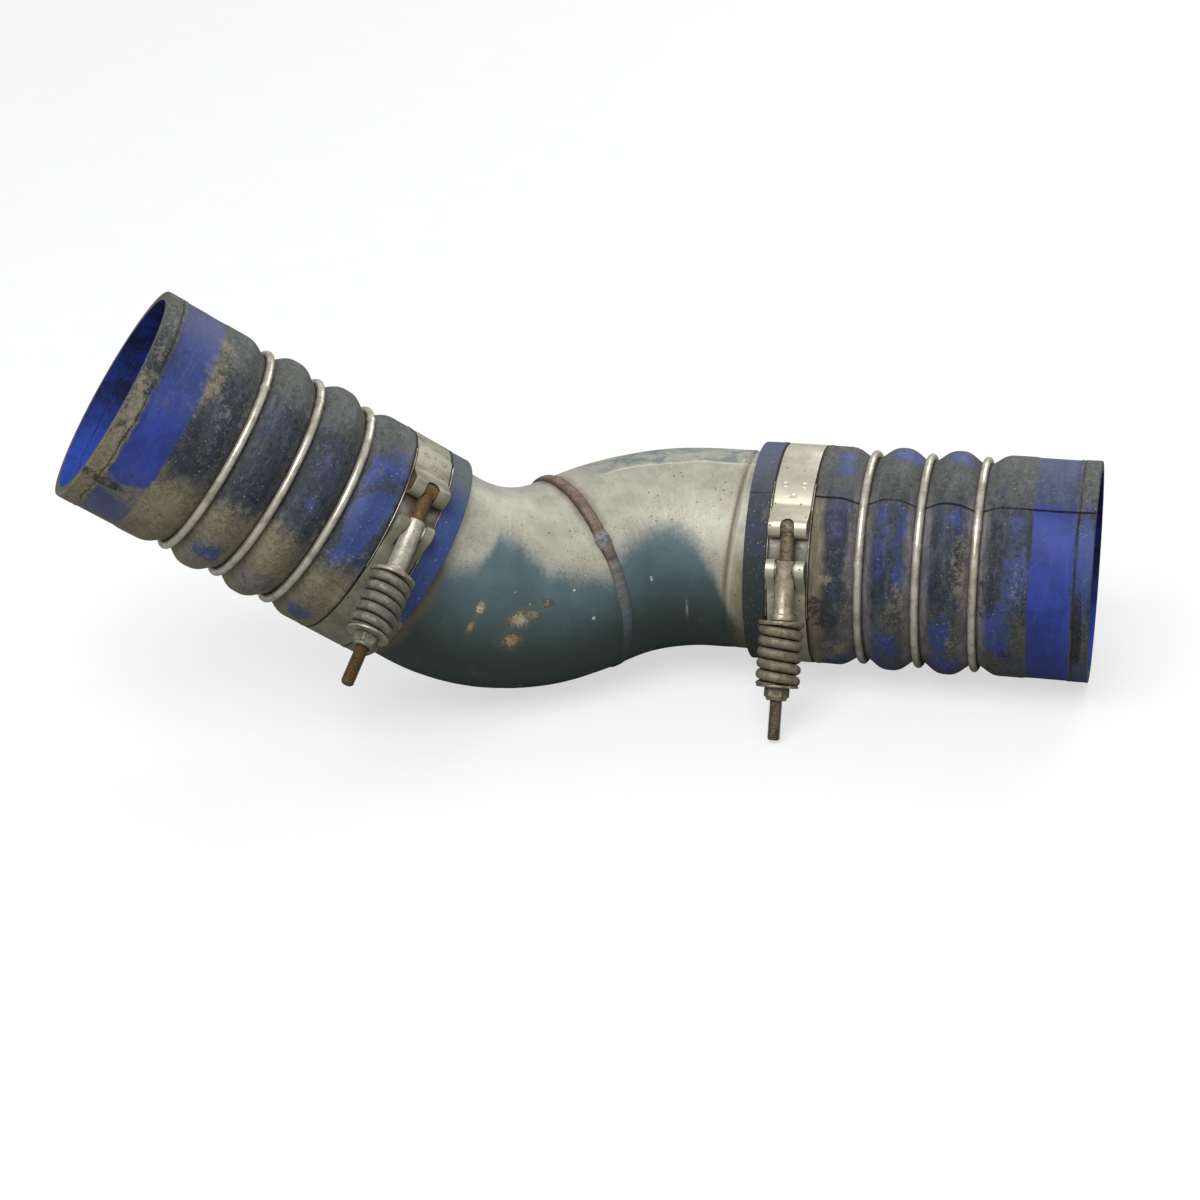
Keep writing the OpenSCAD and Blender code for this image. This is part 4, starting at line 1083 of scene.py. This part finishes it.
def worn_finish(name, shift, fresh, stained, rust, rust_amount, roughness, size):
    """Plated steel that has gone dull, with stains, pits and rust in spots of a size in millimetres."""
    material, place, shader = new_finish(name)
    cloud = place.grain(size, 5, 0.65, 0.3, shift)
    fine = place.grain(size / 4, 4, 0.7, 0, shift + 0.1)
    hollow_shade = place.hollow_shade(0.004, 0.8, 0.35)
    rusty = (cloud * 0.6 + fine * 0.4 + (rust_amount - 0.5)).rise(0.46, 0.58)
    face = cloud.rise(0.38, 0.62).over(fresh, stained).coated(
        (fine.rise(0.52, 0.66) * 0.5, dimmed(stained, 0.55)),
        (rusty, fine.rise(0.36, 0.62).over(rust, dimmed(rust, 0.5))),
        # Painted shade, dark brown, in corners and close to other parts.
        (hollow_shade * 0.7, (52, 44, 34)),
        (place.specks(size * 0.6, shift).rise(0.14, 0.08) * 0.5, (172, 162, 136)))
    dress(shader, {
        "Base Color": face,
        "Metallic": (1 - rusty) * (1 - hollow_shade) * 0.45,
        "Roughness": roughness + rusty * 0.3 + (cloud - 0.5) * 0.25 + hollow_shade * 0.2,
        "Normal": (fine * 0.5 + cloud * 0.5 + rusty * 0.3).raised(0.18),
    })
    return material


bolt_around = np.radians(np.arange(0, 360, 11.25))
bolt_tip = BOLT_LENGTH - BAR_Y
bolt_outline = [
    (-BAR_Y, NECK_R), (0, NECK_R), (BAR_Y - 0.5, NECK_R), (BAR_Y + 1.5, BOLT_R), (THREAD_FROM - 1.5, BOLT_R)]
for distance in np.arange(THREAD_FROM, bolt_tip - 0.9, THREAD_PITCH / 7):
    phase = (distance / THREAD_PITCH - bolt_around / (2 * math.pi)) % 1
    cut = THREAD_DEPTH * np.clip(1.25 - 3 * abs(phase - 0.5), 0, 1) * np.clip((distance - THREAD_FROM) / 1.5, 0, 1)
    bolt_outline.append((distance, BOLT_R - cut))
bolt_outline += [(bolt_tip - 0.8, BOLT_R - 0.2), (bolt_tip - 0.1, BOLT_R - 0.8), (bolt_tip, BOLT_R - 1.0)]
# Fresh and stained plating, rust, and how much of it.
BOLT_COLOURS = {
    "left": ((108, 90, 58), (76, 62, 38), (128, 82, 32), 0.54),
    "right": ((134, 120, 98), (104, 92, 73), (112, 84, 56), 0.48),
}
for number, (side_name, clamp) in enumerate(CLAMPS.items()):
    bolt_finish = worn_finish(f"{side_name}_bolt_rust", 0.4 + number, *BOLT_COLOURS[side_name], 0.5, 3.2)
    shank = skin(f"{side_name}_bolt_shank", along_bolt(bolt_outline, bolt_around), clamp, loop=False)
    head_grid = rod_across(BAR_Y, -HEAD_HALF, HEAD_HALF, BAR_R)
    head = skin(f"{side_name}_bolt_head", head_grid, clamp, loop=False)
    for piece in (shank, head):
        piece.data.materials.append(bolt_finish)
        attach(piece, "root")
        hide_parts(f"{side_name}_t_bolt")

# Trunnions.
# A cross bar for the lower loop with a sleeve pressed through it. The bolt slides in the sleeve, and the
# sleeve's collar bears on the flange washer, so the spring pushes the lower end of the band.
SLEEVE_LENGTH = 25
PIN_FROM = 3.9
COLLAR_R = 5.7
COLLAR_LENGTH = 3.5
SLEEVE_END = BAR_Y + SLEEVE_LENGTH
COLLAR_START = SLEEVE_END - COLLAR_LENGTH
TRUNNION_COLOURS = {
    "left": ((194, 190, 176), (164, 158, 141), (112, 84, 58), 0.2),
    "right": ((186, 174, 150), (150, 137, 113), (112, 84, 58), 0.26),
}
sleeve_around = np.radians(np.arange(0, 360, 7.5))
sleeve_outline = [
    (BAR_Y - 4.3, BOLT_HOLE_R), (BAR_Y - 4.5, 3.8), (BAR_Y - 4.4, 4.5), (BAR_Y - 4.0, 4.95), (BAR_Y + 4, 5.0),
    (BAR_Y + 7, SLEEVE_R), (COLLAR_START - 0.4, SLEEVE_R - 0.12), (COLLAR_START, SLEEVE_R + 0.1),
    (COLLAR_START + 0.3, COLLAR_R - 0.3), (COLLAR_START + 0.8, COLLAR_R), (SLEEVE_END - 0.6, COLLAR_R),
    (SLEEVE_END - 0.1, COLLAR_R - 0.4), (SLEEVE_END, COLLAR_R - 0.9), (SLEEVE_END, BOLT_HOLE_R)]
for number, (side_name, clamp) in enumerate(CLAMPS.items()):
    trunnion_finish = worn_finish(
        f"{side_name}_trunnion_steel", 2.4 + number, *TRUNNION_COLOURS[side_name], 0.34, 5)
    pieces = [skin(f"{side_name}_trunnion_sleeve", along_bolt(sleeve_outline, sleeve_around), clamp)]
    for word, first, last in (("inner", -HEAD_HALF, -PIN_FROM), ("outer", PIN_FROM, HEAD_HALF)):
        pin_grid = rod_across(-BAR_Y, first, last, BAR_R)
        pieces.append(skin(f"{side_name}_trunnion_{word}_pin", pin_grid, clamp, loop=False))
    for piece in pieces:
        piece.data.materials.append(trunnion_finish)
        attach(piece, "root")
        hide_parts(f"{side_name}_trunnion")

# Washers.
# A stamped flange washer seats the top of the spring on the sleeve's collar, and a thinner one lies between
# the spring and the nut. Both are plated steel, dull and dusty.
FLANGE_WASHER_T = 2
FLANGE_WASHER_R = 11.2
PLAIN_WASHER_T = 1.4
PLAIN_WASHER_R = 10.4
SPRING_LENGTH = 29
SPRING_START = SLEEVE_END + FLANGE_WASHER_T
SPRING_END = SPRING_START + SPRING_LENGTH
WASHER_COLOURS = {
    "left": ((172, 166, 146), (140, 132, 110), (116, 90, 60), 0.2),
    "right": ((160, 151, 128), (122, 113, 93), (116, 90, 60), 0.26),
}
WASHERS = [
    ("flange", SLEEVE_END, FLANGE_WASHER_T, FLANGE_WASHER_R), ("plain", SPRING_END, PLAIN_WASHER_T, PLAIN_WASHER_R)]
washer_around = np.radians(np.arange(0, 360, 5))
for number, (side_name, clamp) in enumerate(CLAMPS.items()):
    washer_finish = worn_finish(f"{side_name}_washer_zinc", 5.1 + number, *WASHER_COLOURS[side_name], 0.42, 4)
    for word, start, thick, rim in WASHERS:
        outline = [(start + past, radius) for past, radius in (
            (0, BOLT_HOLE_R), (0, rim - 0.5), (0.12, rim - 0.15), (0.4, rim), (thick - 0.4, rim),
            (thick - 0.12, rim - 0.15), (thick, rim - 0.5), (thick, BOLT_HOLE_R))]
        washer = skin(f"{side_name}_{word}_washer_disc", along_bolt(outline, washer_around), clamp)
        washer.data.materials.append(washer_finish)
        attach(washer, "root")
        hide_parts(f"{side_name}_{word}_washer")

# Springs.
# Left-hand coils of 5.1 mm steel wire, whose last turns are ground flat to thin tips that bear on the washers.
# They are loaded so that almost no gap is left between the turns, and are grey with packed dust.
SPRING_WIRE_R = 2.55
COIL_R = 8.45
SPRING_TURNS = 5.97
SPRING_CLOCK = 76
SPRING_STATIONS = 520
GROUND_OFF = 0.8 * SPRING_WIRE_R
SPRING_COLOURS = {
    "left": ((136, 132, 117), (104, 101, 88), (104, 80, 54), 0.2),
    "right": ((146, 137, 115), (112, 103, 84), (104, 80, 54), 0.28),
}
coil_low = SPRING_START + SEAT
coil_high = SPRING_END - SEAT
coil_share = np.linspace(0, 1, SPRING_STATIONS)[:, None]
coil_angle = np.radians(SPRING_CLOCK - 360 * SPRING_TURNS * coil_share)
coil_middle = coil_low - GROUND_OFF + (coil_high - coil_low + 2 * GROUND_OFF) * coil_share
wire_ring = np.radians(np.arange(0, 360, 15))
wire_y = coil_middle + SPRING_WIRE_R * np.sin(wire_ring)
wire_side = SPRING_WIRE_R * np.cos(wire_ring) + 0 * coil_middle
for plane, way in ((coil_low, -1), (coil_high, 1)):
    half_flat = np.sqrt(np.clip(SPRING_WIRE_R ** 2 - (plane - coil_middle) ** 2, 0, None))
    wire_side = np.where((wire_y - plane) * way > 0, np.clip(wire_side, -half_flat, half_flat), wire_side)
wire_y = np.clip(wire_y, coil_low, coil_high)
wire_reach = COIL_R + wire_side
coil_grid = np.stack([wire_reach * np.cos(coil_angle), -wire_y, BOLT_Z + wire_reach * np.sin(coil_angle)], -1)
for number, (side_name, clamp) in enumerate(CLAMPS.items()):
    coil = skin(f"{side_name}_spring_coil", coil_grid, clamp, loop=False)
    coil.data.materials.append(
        worn_finish(f"{side_name}_spring_steel", 7.7 + number, *SPRING_COLOURS[side_name], 0.58, 4))
    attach(coil, "root")
    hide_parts(f"{side_name}_spring")

# Lock nuts.
# Hexagon nuts, 11.1 mm across flats, with chamfered corners and a collar that holds the locking insert. They
# set how far the spring is pressed.
NUT_START = SPRING_END + PLAIN_WASHER_T
NUT_FLATS = 11.1
NUT_HEX_H = 5
NUT_H = 6.5
NUT_HOLE_R = BOLT_R + 0.3
NUT_RUST = ((96, 74, 52), 0.3)
nut_around = np.radians(np.arange(0, 360, 3))
hexagon = NUT_FLATS / 2 / np.cos((nut_around % (math.pi / 3)) - math.pi / 6)
nut_cones = [(0, 5.6), (0.5, 6.3), (NUT_HEX_H - 0.5, 6.3), (NUT_HEX_H, 5.5), (NUT_HEX_H + 0.15, 5.2),
             (NUT_H - 0.9, 5.15), (NUT_H - 0.3, 4.9), (NUT_H, 4.4)]
nut_outline = [(NUT_START + up, np.minimum(hexagon, cone)) for up, cone in nut_cones]
nut_outline = [(NUT_START, NUT_HOLE_R), *nut_outline, (NUT_START + NUT_H, NUT_HOLE_R)]
for number, (side_name, clamp) in enumerate(CLAMPS.items()):
    nut = skin(f"{side_name}_nut_body", along_bolt(nut_outline, nut_around), clamp)
    nut.data.materials.append(worn_finish(
        f"{side_name}_nut_zinc", 9.2 + number, *SPRING_COLOURS[side_name][:2], *NUT_RUST, 0.45, 3))
    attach(nut, "root")
    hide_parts(f"{side_name}_lock_nut")
